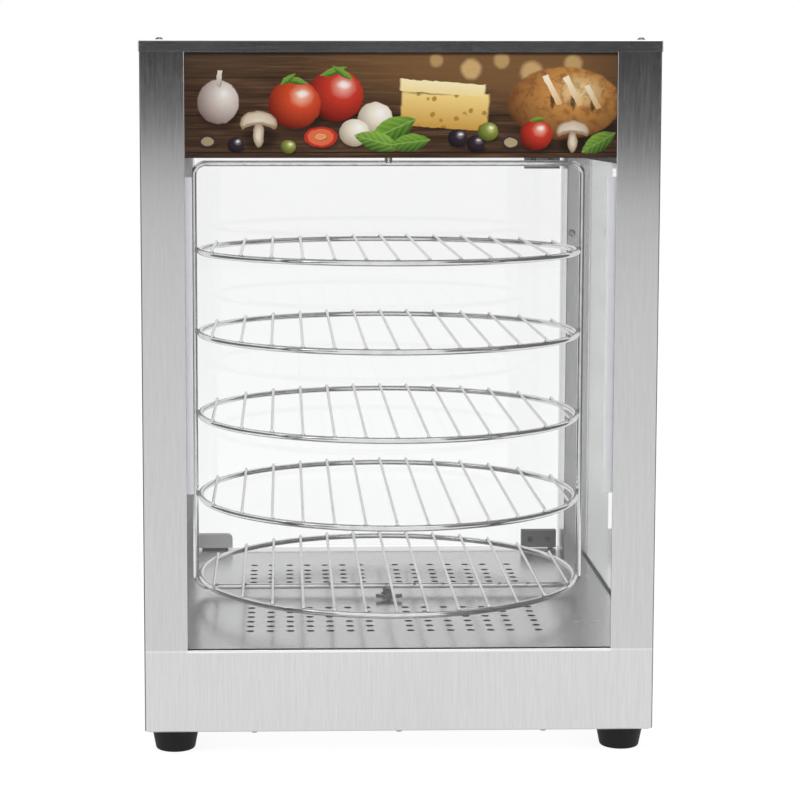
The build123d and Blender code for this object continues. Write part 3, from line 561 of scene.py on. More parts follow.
@dataclass(frozen=True)
class Ball(Motif):
    """A rounded thing lit from the upper right, from its light to its dark colour."""

    light: Colour = (1.0, 0.5, 0.4)
    middle: Colour = (0.6, 0.04, 0.02)
    dark: Colour = (0.12, 0.005, 0.003)
    gloss: float = 0.8
    mottle: float = 0.0
    mottle_scale: float = 0.12

    def paint(self, canvas: Canvas) -> None:
        """Paints shadow, body, mottling and highlight.

        Args:
            canvas: the picture.
        """
        self.shade(canvas)
        x, y = self.centre
        wide, high = self.radii
        lit = canvas.reach((x + 0.28 * wide, y + 0.34 * high), (1.5 * wide, 1.5 * high))
        body = canvas.ramp(lit, (0.0, self.light), (0.34, self.middle), (0.95, self.dark))
        if self.mottle:
            spots = canvas.tree.noise(canvas.point, self.mottle_scale, 4.0, 0.6)
            body = canvas.tree.blend(spots.fade(0.45, 0.65) * self.mottle, body, self.dark)
        canvas.lay(self.inside(canvas.reach(self.centre, self.radii, self.turn)), body)
        if self.gloss:
            spot = (x + 0.30 * wide, y + 0.42 * high)
            canvas.glow(spot, (0.20 * wide, 0.13 * high), (1.0, 0.97, 0.92), self.gloss, 0.7)


@dataclass(frozen=True)
class Leaf(Motif):
    """A basil leaf with its rib."""

    light: Colour = (0.22, 0.42, 0.05)
    dark: Colour = (0.02, 0.09, 0.01)

    def paint(self, canvas: Canvas) -> None:
        """Paints a pointed blade, its side veins and its rib.

        Args:
            canvas: the picture.
        """
        tree = canvas.tree
        local = canvas.local(self.centre, self.radii, self.turn)
        along = tree.axis(local, "X")
        over = tree.axis(local, "Y")
        side = abs(over)
        edge = side + along * along
        inside = edge.fade(1.0 + 2.0 * self.soft, 1.0 - 2.0 * self.soft)
        veins = tree.maths("SINE", (along + side * 0.6) * 19.0)
        tone = over * 0.35 + 0.5 + veins * 0.10
        canvas.lay(inside, canvas.ramp(tone, (0.1, self.dark), (0.85, self.light)))
        canvas.lay(side.fade(0.10, 0.03) * inside * 0.6, (0.35, 0.52, 0.14))


@dataclass(frozen=True)
class Slab(Motif):
    """A flat-sided piece such as cut cheese."""

    light: Colour = (0.95, 0.70, 0.25)
    dark: Colour = (0.62, 0.33, 0.06)
    holes: float = 0.0

    def paint(self, canvas: Canvas) -> None:
        """Paints the side and its holes.

        Args:
            canvas: the picture.
        """
        tree = canvas.tree
        self.shade(canvas)
        local = canvas.local(self.centre, self.radii, self.turn)
        size = tree.vector("ABSOLUTE", local)
        inside = self.inside(tree.axis(size, "X").most(tree.axis(size, "Y")))
        up = tree.axis(local, "Y")
        body = canvas.ramp(up * 0.5 + 0.5, (0.0, self.dark), (0.9, self.light))
        if self.holes:
            sockets = {"Vector": canvas.point, "Scale": 0.11, "Randomness": 0.8}
            gap = tree.add("ShaderNodeTexVoronoi", {}, sockets, "Distance")
            body = tree.blend(gap.fade(0.32, 0.22) * self.holes, body, (0.42, 0.20, 0.03))
        canvas.lay(inside, body)


@dataclass(frozen=True)
class Ring(Motif):
    """A slice seen from above: flesh inside a rim."""

    rim: Colour = (0.05, 0.03, 0.04)
    flesh: Colour = (0.45, 0.36, 0.20)
    rim_share: float = 0.28

    def paint(self, canvas: Canvas) -> None:
        """Paints the rim, then the flesh.

        Args:
            canvas: the picture.
        """
        self.shade(canvas)
        reach = canvas.reach(self.centre, self.radii, self.turn)
        canvas.lay(self.inside(reach), self.rim)
        canvas.lay(self.inside(reach, 1.0 - self.rim_share), self.flesh)


@dataclass(frozen=True)
class Mushroom(Motif):
    """A sliced mushroom: cap, gills and stalk."""

    def paint(self, canvas: Canvas) -> None:
        """Paints stalk, cap and gills.

        Args:
            canvas: the picture.
        """
        self.shade(canvas)
        x, y = self.centre
        wide, high = self.radii
        cream, edge = (0.80, 0.70, 0.55), (0.36, 0.24, 0.14)
        stalk = canvas.reach((x, y - 0.45 * high), (0.30 * wide, 0.62 * high))
        canvas.lay(stalk.fade(1.06, 0.94), canvas.ramp(stalk, (0.3, cream), (1.0, edge)))
        cap = canvas.reach((x, y + 0.15 * high), (wide, 0.62 * high))
        cut = canvas.reach((x, y - 0.75 * high), (1.25 * wide, 0.85 * high))
        inside = cap.fade(1.04, 0.96) * cut.fade(0.94, 1.02)
        canvas.lay(inside, canvas.ramp(cap, (0.2, cream), (0.8, (0.66, 0.54, 0.40)), (1.0, edge)))
        canvas.lay(inside * cut.fade(1.22, 1.04) * 0.8, (0.30, 0.17, 0.09))


@dataclass(frozen=True)
class PrintedFilm(Finish):
    """Gloss film with a still life of pizza toppings on dark planks."""

    middle_height: float = 610.1
    half_wide: float = 198.7
    top_shade: Flat = (44.5, 47.5)

    def shader(self, tree: ShaderTree) -> Value:
        """The print under a gloss coat.

        Args:
            tree: the material's nodes.

        Returns:
            The shader.
        """
        place = tree.place()
        x = tree.axis(place, "X") * 1000.0
        z = tree.axis(place, "Z") * 1000.0 - self.middle_height
        point = tree.add("ShaderNodeCombineXYZ", {}, {"X": x, "Y": z, "Z": 0.0})
        canvas = Canvas(tree, self._ragged(tree, point), self._table(tree, point, z))
        self._background(canvas)
        for motif in self._motifs():
            canvas.settle()
            motif.paint(canvas)
        canvas.settle()
        canvas.lay(abs(x).fade(self.half_wide - 60.0, self.half_wide + 30.0) * 0.45, (0.01, 0.006, 0.004))
        # Painted shadow of the lid's skirt along the print's top edge.
        canvas.lay(z.fade(*self.top_shade) * 0.85, (0.008, 0.006, 0.005))
        sockets = {
            "Base Color": canvas.colour,
            "Roughness": 0.32 + tree.noise(place, 30.0) * 0.08,
            "Specular IOR Level": 0.15,
            "Coat Weight": 0.10,
            "Coat Roughness": 0.08,
        }
        return tree.principled(sockets)

    @staticmethod
    def _ragged(tree: ShaderTree, point: Value) -> Value:
        """Moves the point a little by noise, so that rims aren't perfect.

        Args:
            tree: the material's nodes.
            point: the point on the strip, in millimetres.

        Returns:
            The moved point.
        """
        wander = tree.add("ShaderNodeTexNoise", {}, {"Vector": point, "Scale": 0.16, "Detail": 3.0}, "Color")
        moved = tree.scaled(tree.vector("SUBTRACT", wander, (0.5, 0.5, 0.5)), (2.6, 2.6, 0.0))
        return tree.vector("ADD", point, moved)

    @staticmethod
    def _table(tree: ShaderTree, point: Value, z: Value) -> Value:
        """Dark planks with grain, knots and gaps.

        Args:
            tree: the material's nodes.
            point: the point on the strip, in millimetres.
            z: its height alone.

        Returns:
            Their colour.
        """
        grain = tree.noise(tree.scaled(point, (0.010, 0.16, 1.0)), 1.0, 7.0, 0.62)
        rings = tree.noise(tree.scaled(point, (0.02, 0.55, 1.0)), 1.0, 3.0, 0.5)
        stops = [(0.30, (0.016, 0.008, 0.004)), (0.50, (0.070, 0.034, 0.017)), (0.72, (0.20, 0.11, 0.06))]
        wood = tree.add("ShaderNodeValToRGB", {"stops": stops}, {0: grain * 0.65 + rings * 0.35})
        board = tree.maths("PINGPONG", z + 9.0, 17.0)
        return tree.blend(board.fade(0.9, 0.2) * 0.85, wood, (0.006, 0.003, 0.002))

    @staticmethod
    def _background(canvas: Canvas) -> None:
        """Paints a warm blur towards the right, with out-of-focus lamps.

        Args:
            canvas: the picture.
        """
        canvas.glow((95.0, 40.0), (150.0, 34.0), (0.24, 0.12, 0.045), 0.8, 0.6)
        canvas.glow((-175.0, 46.0), (60.0, 20.0), (0.12, 0.07, 0.04), 0.6, 0.8)
        lamps = ((64, 33, 9, 0.55), (92, 41, 7, 0.4), (120, 30, 10, 0.5), (158, 38, 8, 0.45), (32, 41, 6, 0.35))
        for x, y, size, strength in lamps:
            canvas.settle()
            canvas.glow((x, y), (size, size), (1.0, 0.66, 0.28), strength, 0.3)

    @staticmethod
    def _motifs() -> List[Motif]:
        """What lies on the table.

        Returns:
            The motifs, from back to front.
        """
        garlic = {"light": (0.95, 0.90, 0.84), "middle": (0.72, 0.62, 0.56), "dark": (0.26, 0.17, 0.15)}
        crust = {"light": (0.98, 0.72, 0.36), "middle": (0.62, 0.28, 0.07), "dark": (0.13, 0.04, 0.012)}
        score = {"light": (1.0, 0.86, 0.62), "dark": (0.8, 0.5, 0.22)}
        olive = {"light": (0.30, 0.26, 0.28), "middle": (0.035, 0.02, 0.03), "dark": (0.004, 0.003, 0.004)}
        green = {"light": (0.70, 0.72, 0.28), "middle": (0.26, 0.30, 0.05), "dark": (0.05, 0.07, 0.01)}
        cream = {"light": (1.0, 0.97, 0.90), "middle": (0.88, 0.80, 0.66), "dark": (0.40, 0.30, 0.20)}
        return [
            Ball((150.0, 2.0), (52.0, 33.0), gloss=0.0, mottle=0.5, **crust),
            Slab((139.0, 14.0), (2.6, 15.0), turn=28.0, **score),
            Slab((158.0, 13.0), (2.6, 15.0), turn=28.0, **score),
            Slab((176.0, 8.0), (2.4, 12.0), turn=28.0, **score),
            Slab((40.0, -4.0), (40.0, 17.0), turn=-4.0, holes=0.85),
            Slab((38.0, 16.0), (39.0, 5.5), turn=-4.0, light=(1.0, 0.87, 0.50), dark=(0.95, 0.74, 0.34)),
            Ball((-168.0, 3.0), (19.0, 20.0), gloss=0.35, **garlic),
            Slab((-167.0, 25.0), (2.2, 7.0), turn=-8.0, light=(0.85, 0.78, 0.68), dark=(0.60, 0.48, 0.42)),
            Ball((-60.0, 9.0), (25.0, 23.5)),
            Ball((-98.0, 1.0), (24.0, 22.5), light=(1.0, 0.56, 0.38), middle=(0.66, 0.07, 0.02)),
            Leaf((-62.0, 31.0), (13.0, 3.6), turn=18.0),
            Leaf((-54.0, 30.0), (11.0, 3.2), turn=-34.0),
            Leaf((-97.0, 22.5), (12.0, 3.2), turn=-12.0),
            Leaf((-104.0, 24.0), (9.0, 2.8), turn=36.0),
            Mushroom((-131.0, -19.0), (17.0, 18.0)),
            Ball((-24.0, -12.0), (16.0, 15.0), gloss=0.5, **cream),
            Ball((-43.0, -25.0), (14.0, 12.5), gloss=0.5, **cream),
            Leaf((-8.0, -22.0), (24.0, 10.5), turn=24.0),
            Leaf((-22.0, -33.0), (22.0, 9.0), turn=-16.0, light=(0.28, 0.50, 0.07)),
            Leaf((8.0, -34.0), (19.0, 8.0), turn=8.0),
            Ring((-74.0, -29.0), (15.0, 9.5), rim=(0.55, 0.03, 0.02), flesh=(0.78, 0.16, 0.06), rim_share=0.2),
            Ring((-74.0, -28.6), (5.0, 3.0), rim=(0.82, 0.42, 0.20), flesh=(0.86, 0.30, 0.12)),
            Ball((52.0, -30.0), (9.0, 8.6), **olive),
            Ball((69.0, -35.0), (8.5, 8.0), **olive),
            Ball((80.0, -24.0), (9.5, 8.6), **green),
            Ring((101.0, -34.0), (8.5, 6.0)),
            Ball((124.0, -27.0), (15.0, 14.0), light=(1.0, 0.52, 0.36)),
            Leaf((126.0, -13.0), (8.0, 2.2), turn=10.0),
            Mushroom((158.0, -26.0), (15.0, 16.0)),
            Leaf((182.0, -34.0), (18.0, 8.0), turn=30.0, light=(0.26, 0.46, 0.06)),
            Ball((-152.0, -36.0), (7.5, 7.0), **olive),
            Ring((-178.0, -33.0), (8.0, 5.6)),
            Ball((-104.0, -38.0), (7.0, 6.6), **green),
        ]


# Painted shade on the outer front bends.
STEEL_UPRIGHT = BrushedSheet(
    "stainless_brushed_upright", tone=(0.55, 0.55, 0.552), roughness=0.17, brushed=0.5, bend_shade_x=(0.2386, 0.2393)
)
STEEL_APRON = BrushedSheet(
    "stainless_brushed_apron",
    tone=(0.62, 0.62, 0.622),
    roughness=0.17,
    brushed=0.4,
    # Painted highlight along the top fold and painted shade on the outer front bends.
    highlight_band=(0.0978, 0.0988),
    bend_shade_x=(0.2386, 0.2393),
)
STEEL_BASE = BrushedSheet("stainless_brushed_base", tone=(0.62, 0.62, 0.622), roughness=0.17, brushed=0.4)
STEEL_REAR = BrushedSheet("stainless_brushed_rear", tone=(0.50, 0.50, 0.505), roughness=0.22)
STEEL_LID = BrushedSheet("stainless_brushed_lid", tone=(0.58, 0.58, 0.58), grain=Grain.ACROSS, roughness=0.15)
STEEL_ACROSS = BrushedSheet("stainless_brushed_across", grain=Grain.ACROSS)
STEEL_DEEP = BrushedSheet("stainless_brushed_deep", grain=Grain.DEEP)
STEEL_FLOOR = BrushedSheet(
    "stainless_floor", tone=(0.51, 0.51, 0.512), grain=Grain.ACROSS, roughness=0.24, streak=0.05, depth=0.000006
)
STEEL_CLIP = BrushedSheet("stainless_clip", tone=(0.72, 0.72, 0.73), grain=Grain.ACROSS, roughness=0.32)
STEEL_DULL = BrushedSheet("stainless_dull", tone=(0.20, 0.20, 0.205), roughness=0.42)
WIRE = BrightSteel("chromed_wire_finish", tone=(0.76, 0.76, 0.77), roughness=0.08, rim=0.8)
WELD = BrightSteel("weld_finish", tone=(0.36, 0.36, 0.37), roughness=0.26, rim=0.5)
TURNED = BrightSteel("turned_steel_finish", tone=(0.60, 0.60, 0.61), roughness=0.24)
SCREW = BrightSteel("screw_steel_finish", tone=(0.46, 0.46, 0.47), roughness=0.22, rim=0.4)
SCREW_DARK = BrightSteel("dark_screw_finish", tone=(0.13, 0.13, 0.135), roughness=0.26, rim=0.5)
ZINC = ZincSheet("galvanised_finish")
# Painted shade: the tray under the perforated deck is made near black so that the deck's holes look dark.
SHADED_TRAY = ZincSheet("tray_painted_shade_finish", tone=(0.10, 0.10, 0.10))
PANE = ClearPane("clear_glass_finish")
SIDE_PANE = ClearPane("side_glass_finish", tint=(0.988, 0.992, 0.991), wiped=(0.975, 0.98, 0.98))
RUBBER = Moulded("black_rubber_finish", tone=(0.004, 0.004, 0.0045), roughness=0.66, dust=0.15, shine=0.3)
SEAL = Moulded("seal_rubber_finish", tone=(0.05, 0.05, 0.052), roughness=0.6)
BLACK = Moulded("black_plastic_finish", tone=(0.022, 0.022, 0.023), roughness=0.38)
WHITE = Moulded("white_plastic_finish", tone=(0.80, 0.80, 0.83), roughness=0.45, depth=0.00001)
HOUSING = Moulded("lamp_housing_finish", tone=(0.80, 0.80, 0.84), roughness=0.45, depth=0.00001, glow=0.2)
FROSTED = Moulded("frosted_plastic_finish", tone=(0.84, 0.84, 0.88), roughness=0.35, coat=0.3, glow=0.25)
AMBER = Moulded("amber_plastic_finish", tone=(0.85, 0.30, 0.04), roughness=0.15, depth=0.0, coat=0.6)
FERRITE = Moulded("ferrite_finish", tone=(0.09, 0.09, 0.09), roughness=0.7)
MARKING = Moulded("white_marking_finish", tone=(0.78, 0.78, 0.78), roughness=0.5, depth=0.00001)
SCALE = Moulded("dark_marking_finish", tone=(0.03, 0.03, 0.03), roughness=0.5, depth=0.00001)
PRINT = PrintedFilm("printed_film_finish")


def dress(finish: Finish, slot: str, *names: str) -> None:
    """Gives CAD nodes a finish.

    Args:
        finish: the finish.
        slot: the record's material slot that it belongs to; not used.
        names: the nodes.
    """
    for name in names:
        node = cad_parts[name]
        node.data.materials.clear()
        node.data.materials.append(finish.material())
    LOG.info("%s: %s", finish.name, ", ".join(names))


def link(name: str, data: bpy.types.ID) -> bpy.types.Object:
    """Puts a new object in the scene.

    Args:
        name: its name.
        data: its mesh, lamp or camera.

    Returns:
        The object.
    """
    made = bpy.data.objects.new(name, data)
    bpy.context.scene.collection.objects.link(made)
    return made


def finish_piece(name: str, mesh: bmesh.types.BMesh, body: Body, finish: Finish) -> bpy.types.Object:
    """Turns a mesh into a piece that rides a body.

    Args:
        name: the piece's name.
        mesh: its mesh, used up here.
        body: the body that it rides.
        finish: its finish.

    Returns:
        The piece.
    """
    bmesh.ops.recalc_face_normals(mesh, faces=mesh.faces)
    for face in mesh.faces:
        face.smooth = True
    data = bpy.data.meshes.new(name)
    mesh.to_mesh(data)
    mesh.free()
    data.set_sharp_from_angle(angle=math.radians(SHARP_ANGLE))
    piece = link(name, data)
    data.materials.append(finish.material())
    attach(piece, body.value)
    LOG.info("%s: %d faces", name, len(data.polygons))
    return piece


def band(mesh: bmesh.types.BMesh, first: Sequence[bmesh.types.BMVert], second: Sequence[bmesh.types.BMVert]) -> None:
    """Walls between two loops of as many points.

    Args:
        mesh: where they go.
        first: one loop.
        second: the other.
    """
    for index in range(len(first)):
        after = (index + 1) % len(first)
        mesh.faces.new((first[index], first[after], second[after], second[index]))


def slab(mesh: bmesh.types.BMesh, corners: Sequence[Point], height: float, top_share: float = 0.94) -> None:
    """A thin raised mark with sloping rims on a surface that faces the rear.

    Args:
        mesh: where it goes.
        corners: its outline on the surface, in millimetres.
        height: how far it stands out, in millimetres.
        top_share: how wide its top is beside its foot.
    """
    places = [Vector(corner) for corner in corners]
    middle = sum(places, Vector()) / len(places)
    lift = Vector((0.0, height, 0.0))
    foot = [mesh.verts.new(place * MM) for place in places]
    top = [mesh.verts.new((middle.lerp(place, top_share) + lift) * MM) for place in places]
    mesh.faces.new(foot)
    mesh.faces.new(top)
    band(mesh, foot, top)


class Way(Enum):
    """The way a screw's head points."""

    UP = (0.0, 0.0, 1.0)
    DOWN = (0.0, 0.0, -1.0)
    FRONT = (0.0, -1.0, 0.0)
    REAR = (0.0, 1.0, 0.0)


@dataclass(frozen=True)
class ScrewShape:
    """A cross-recess screw, in millimetres."""

    head_radius: float = 4.0
    head: float = 2.6
    shank_radius: float = 2.0
    shank: float = 9.0
    domed: bool = True
    flat_share: float = 0.9
    flat_slope: float = 4.0
    recess_reach: float = 2.2
    recess_half: float = 0.5
    recess_depth: float = 1.3
    recess_share: float = 0.8
    recess_rise: float = 0.55
    tip: float = 0.5
    rings: int = 20
    sides: int = 64

    def _height(self, radius: float, angle: float) -> float:
        """How high the head's surface lies at a place, with the cross pressed into it.

        Args:
            radius: the place's distance from the axis.
            angle: its turn about the axis, in radians.

        Returns:
            The height.
        """
        if self.domed:
            sphere = (self.head_radius**2 + self.head**2) / (2 * self.head)
            height = self.head - sphere + math.sqrt(max(0.0, sphere**2 - radius**2))
        else:
            past = max(0.0, radius / self.head_radius - self.flat_share)
            height = self.head * (1.0 - self.flat_slope * past)
        across, along = sorted((abs(radius * math.cos(angle)), abs(radius * math.sin(angle))))
        if across < self.recess_half and along < self.recess_reach:
            depth = min(self.recess_depth, self.recess_share * self.head)
            height -= depth * (1.0 - self.recess_rise * along / self.recess_reach)
        return height

    def add(self, mesh: bmesh.types.BMesh, seat: Point, way: Way) -> None:
        """Adds a screw.

        Args:
            mesh: where it goes.
            seat: the middle of the head's underside, in millimetres.
            way: the way the head points.
        """
        turn = Vector((0.0, 0.0, 1.0)).rotation_difference(Vector(way.value)).to_matrix().to_4x4()
        matrix = Matrix.Scale(MM, 4) @ Matrix.Translation(seat) @ turn
        middle = mesh.verts.new(matrix @ Vector((0.0, 0.0, self._height(0.0, 0.0))))
        loops = []
        for ring in range(1, self.rings + 1):
            radius = self.head_radius * ring / self.rings
            heights = [self._height(radius, 2 * math.pi * step / self.sides) for step in range(self.sides)]
            loops.append(self._loop(mesh, matrix, radius, heights))
        loops.append(self._loop(mesh, matrix, self.head_radius, [0.0] * self.sides))
        loops.append(self._loop(mesh, matrix, self.shank_radius, [0.0] * self.sides))
        loops.append(self._loop(mesh, matrix, self.shank_radius, [self.tip - self.shank] * self.sides))
        loops.append(self._loop(mesh, matrix, self.shank_radius - self.tip, [-self.shank] * self.sides))
        for inner, outer in zip(loops, loops[1:]):
            for step in range(self.sides):
                after = (step + 1) % self.sides
                mesh.faces.new((inner[step], outer[step], outer[after], inner[after]))
        for step in range(self.sides):
            mesh.faces.new((middle, loops[0][step], loops[0][(step + 1) % self.sides]))
        mesh.faces.new(loops[-1])

    def _loop(
        self, mesh: bmesh.types.BMesh, matrix: Matrix, radius: float, heights: Sequence[float]
    ) -> List[bmesh.types.BMVert]:
        """A ring of points round the screw's axis.

        Args:
            mesh: where they go.
            matrix: where the screw stands.
            radius: their distance from the axis.
            heights: how high each one lies.

        Returns:
            The points.
        """
        turns = [2 * math.pi * step / self.sides for step in range(self.sides)]
        return [
            mesh.verts.new(matrix @ Vector((radius * math.cos(angle), radius * math.sin(angle), height)))
            for angle, height in zip(turns, heights)
        ]


DOME_SCREW = ScrewShape()
CLAMP_SCREW = ScrewShape(head_radius=3.2, head=1.0, shank=10.0, domed=False, recess_reach=1.9, recess_half=0.42)


@dataclass
class ScrewSet:
    """The screws that stand for one CAD node."""

    name: str
    body: Body
    node: str
    finish: Finish
    shape: ScrewShape

    def build(self, places: Sequence[Tuple[Point, Way]]) -> None:
        """Makes them.

        Args:
            places: seats in millimetres and the ways the heads point.
        """
        mesh = bmesh.new()
        for seat, way in places:
            self.shape.add(mesh, seat, way)
        piece = finish_piece(self.name, mesh, self.body, self.finish)
        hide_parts(self.node)


@dataclass
class CabinetShell:
    """The folded steel body of the case."""

    def build(self) -> None:
        """Dresses posts, panels, lid and header."""
        dress(
            STEEL_UPRIGHT,
            "stainless_sheet",
            "post_front_right",
            "post_front_left",
            "upper_side_right",
            "upper_side_left",
            "upper_rear_panel",
            "header_panel",
        )
        dress(STEEL_APRON, "stainless_sheet", "base_front_panel")
        dress(STEEL_BASE, "stainless_sheet", "base_side_right", "base_side_left", "rear_control_panel")
        dress(STEEL_REAR, "stainless_sheet", "post_rear_right", "post_rear_left")
        dress(STEEL_LID, "stainless_sheet", "lid")
        dress(STEEL_ACROSS, "stainless_sheet", "door_sill", "ceiling_panel")
        dress(ZINC, "galvanised_sheet", "bottom_cover")
        dress(PRINT, "printed_film", "header_graphic")
        dress(RUBBER, "black_rubber", "feet")


@dataclass
class WarmSpace:
    """Floor, panes, seals and lamps round the carousel."""

    def build(self) -> None:
        """Dresses what stands round the racks."""
        dress(STEEL_FLOOR, "stainless_sheet", "floor_deck")
        dress(PANE, "clear_glass", "front_glass")
        dress(SIDE_PANE, "clear_glass", "side_glass_right", "side_glass_left")
        dress(SEAL, "black_rubber", "glass_seals")
        dress(HOUSING, "white_plastic", "lamp_housing_right", "lamp_housing_left")
        dress(FROSTED, "frosted_plastic", "lamp_lenses")
        dress(STEEL_DEEP, "stainless_sheet", "lamp_brackets")


@dataclass
class Carousel:
    """The turning loop with its racks."""

    seed: int = 7
    racks: int = 5
    first_rack: float = 122.7
    rack_pitch: float = 84.75
    axis_y: float = -9.0
    ring: float = 194.8
    cross_wires: int = 6
    cross_pitch: float = 30.0
    cross_rise: float = 3.0
    joint_x: float = 197.7
    joint_y: float = 2.6
    joint_bead: Point = (2.0, 2.6, 2.9)
    end_bead: Point = (2.1, 2.4, 2.0)
    lumps: float = 0.06

    def build(self) -> None:
        """Dresses the loop, racks and drive pieces that turn."""
        racks = [f"rack_{number + 1}" for number in range(self.racks)]
        dress(WIRE, "chromed_wire", "carousel_frame", *racks)
        dress(TURNED, "turned_steel", "drive_hub", "drive_shaft", "top_pivot_pin")
        dress(SCREW_DARK, "screw_steel", "wing_screw")
        self._welds()

    def _welds(self) -> None:
        """Beads where the racks meet the loop and where the cross wires end on their ring."""
        mesh = bmesh.new()
        chance = random.Random(self.seed)
        for level in range(self.racks):
            z = self.first_rack + self.rack_pitch * level
            for side in (-1, 1):
                for turn in (-1, 1):
                    spot = (side * self.joint_x, self.axis_y + turn * self.joint_y, z)
                    self._bead(mesh, chance, spot, self.joint_bead)
                for index in range(-self.cross_wires, self.cross_wires + 1):
                    x = index * self.cross_pitch
                    y = self.axis_y + side * math.sqrt(self.ring**2 - x**2)
                    self._bead(mesh, chance, (x, y, z + self.cross_rise), self.end_bead)
        finish_piece("weld_beads", mesh, Body.CAROUSEL, WELD)

    def _bead(self, mesh: bmesh.types.BMesh, chance: random.Random, spot: Point, size: Point) -> None:
        """One lumpy bead.

        Args:
            mesh: where it goes.
            chance: makes each one a little different.
            spot: its middle, in millimetres.
            size: its half sizes, in millimetres.
        """
        made = bmesh.ops.create_icosphere(mesh, subdivisions=2, radius=1.0)
        for vertex in made["verts"]:
            lump = 1.0 + chance.uniform(-self.lumps, self.lumps)
            vertex.co = [(middle + half * lump * value) * MM for middle, half, value in zip(spot, size, vertex.co)]


@dataclass
class RearDoor:
    """The swinging rear pane and its fittings."""

    screw_x: Flat = (176.0, 196.0)
    screw_seat: float = 216.0
    screw_z: Flat = (112.0, 549.2)

    def build(self) -> None:
        """Dresses the pane, clamps, screws and clip."""
        dress(PANE, "clear_glass", "door_glass")
        dress(STEEL_DULL, "stainless_sheet", "door_clamps")
        dress(STEEL_CLIP, "stainless_sheet", "door_pull")
        screws = ScrewSet("door_clamp_screw_heads", Body.DOOR, "door_clamp_screws", SCREW_DARK, CLAMP_SCREW)
        screws.build([((x, self.screw_seat, z), Way.FRONT) for x in self.screw_x for z in self.screw_z])


@dataclass
class BaseInside:
    """Heater, drive and supply inside the base."""

    def build(self) -> None:
        """Dresses what the base hides."""
        dress(SHADED_TRAY, "galvanised_sheet", "heat_tray")
        dress(ZINC, "galvanised_sheet", "motor_bracket")
        dress(TURNED, "turned_steel", "gear_motor", "heating_element")
        dress(STEEL_DULL, "stainless_sheet", "element_clips")
        dress(WHITE, "white_plastic", "carousel_bush", "terminal_block")
        dress(TURNED, "turned_steel", "hinge_blocks")
        dress(FERRITE, "magnet_ferrite", "door_magnet")


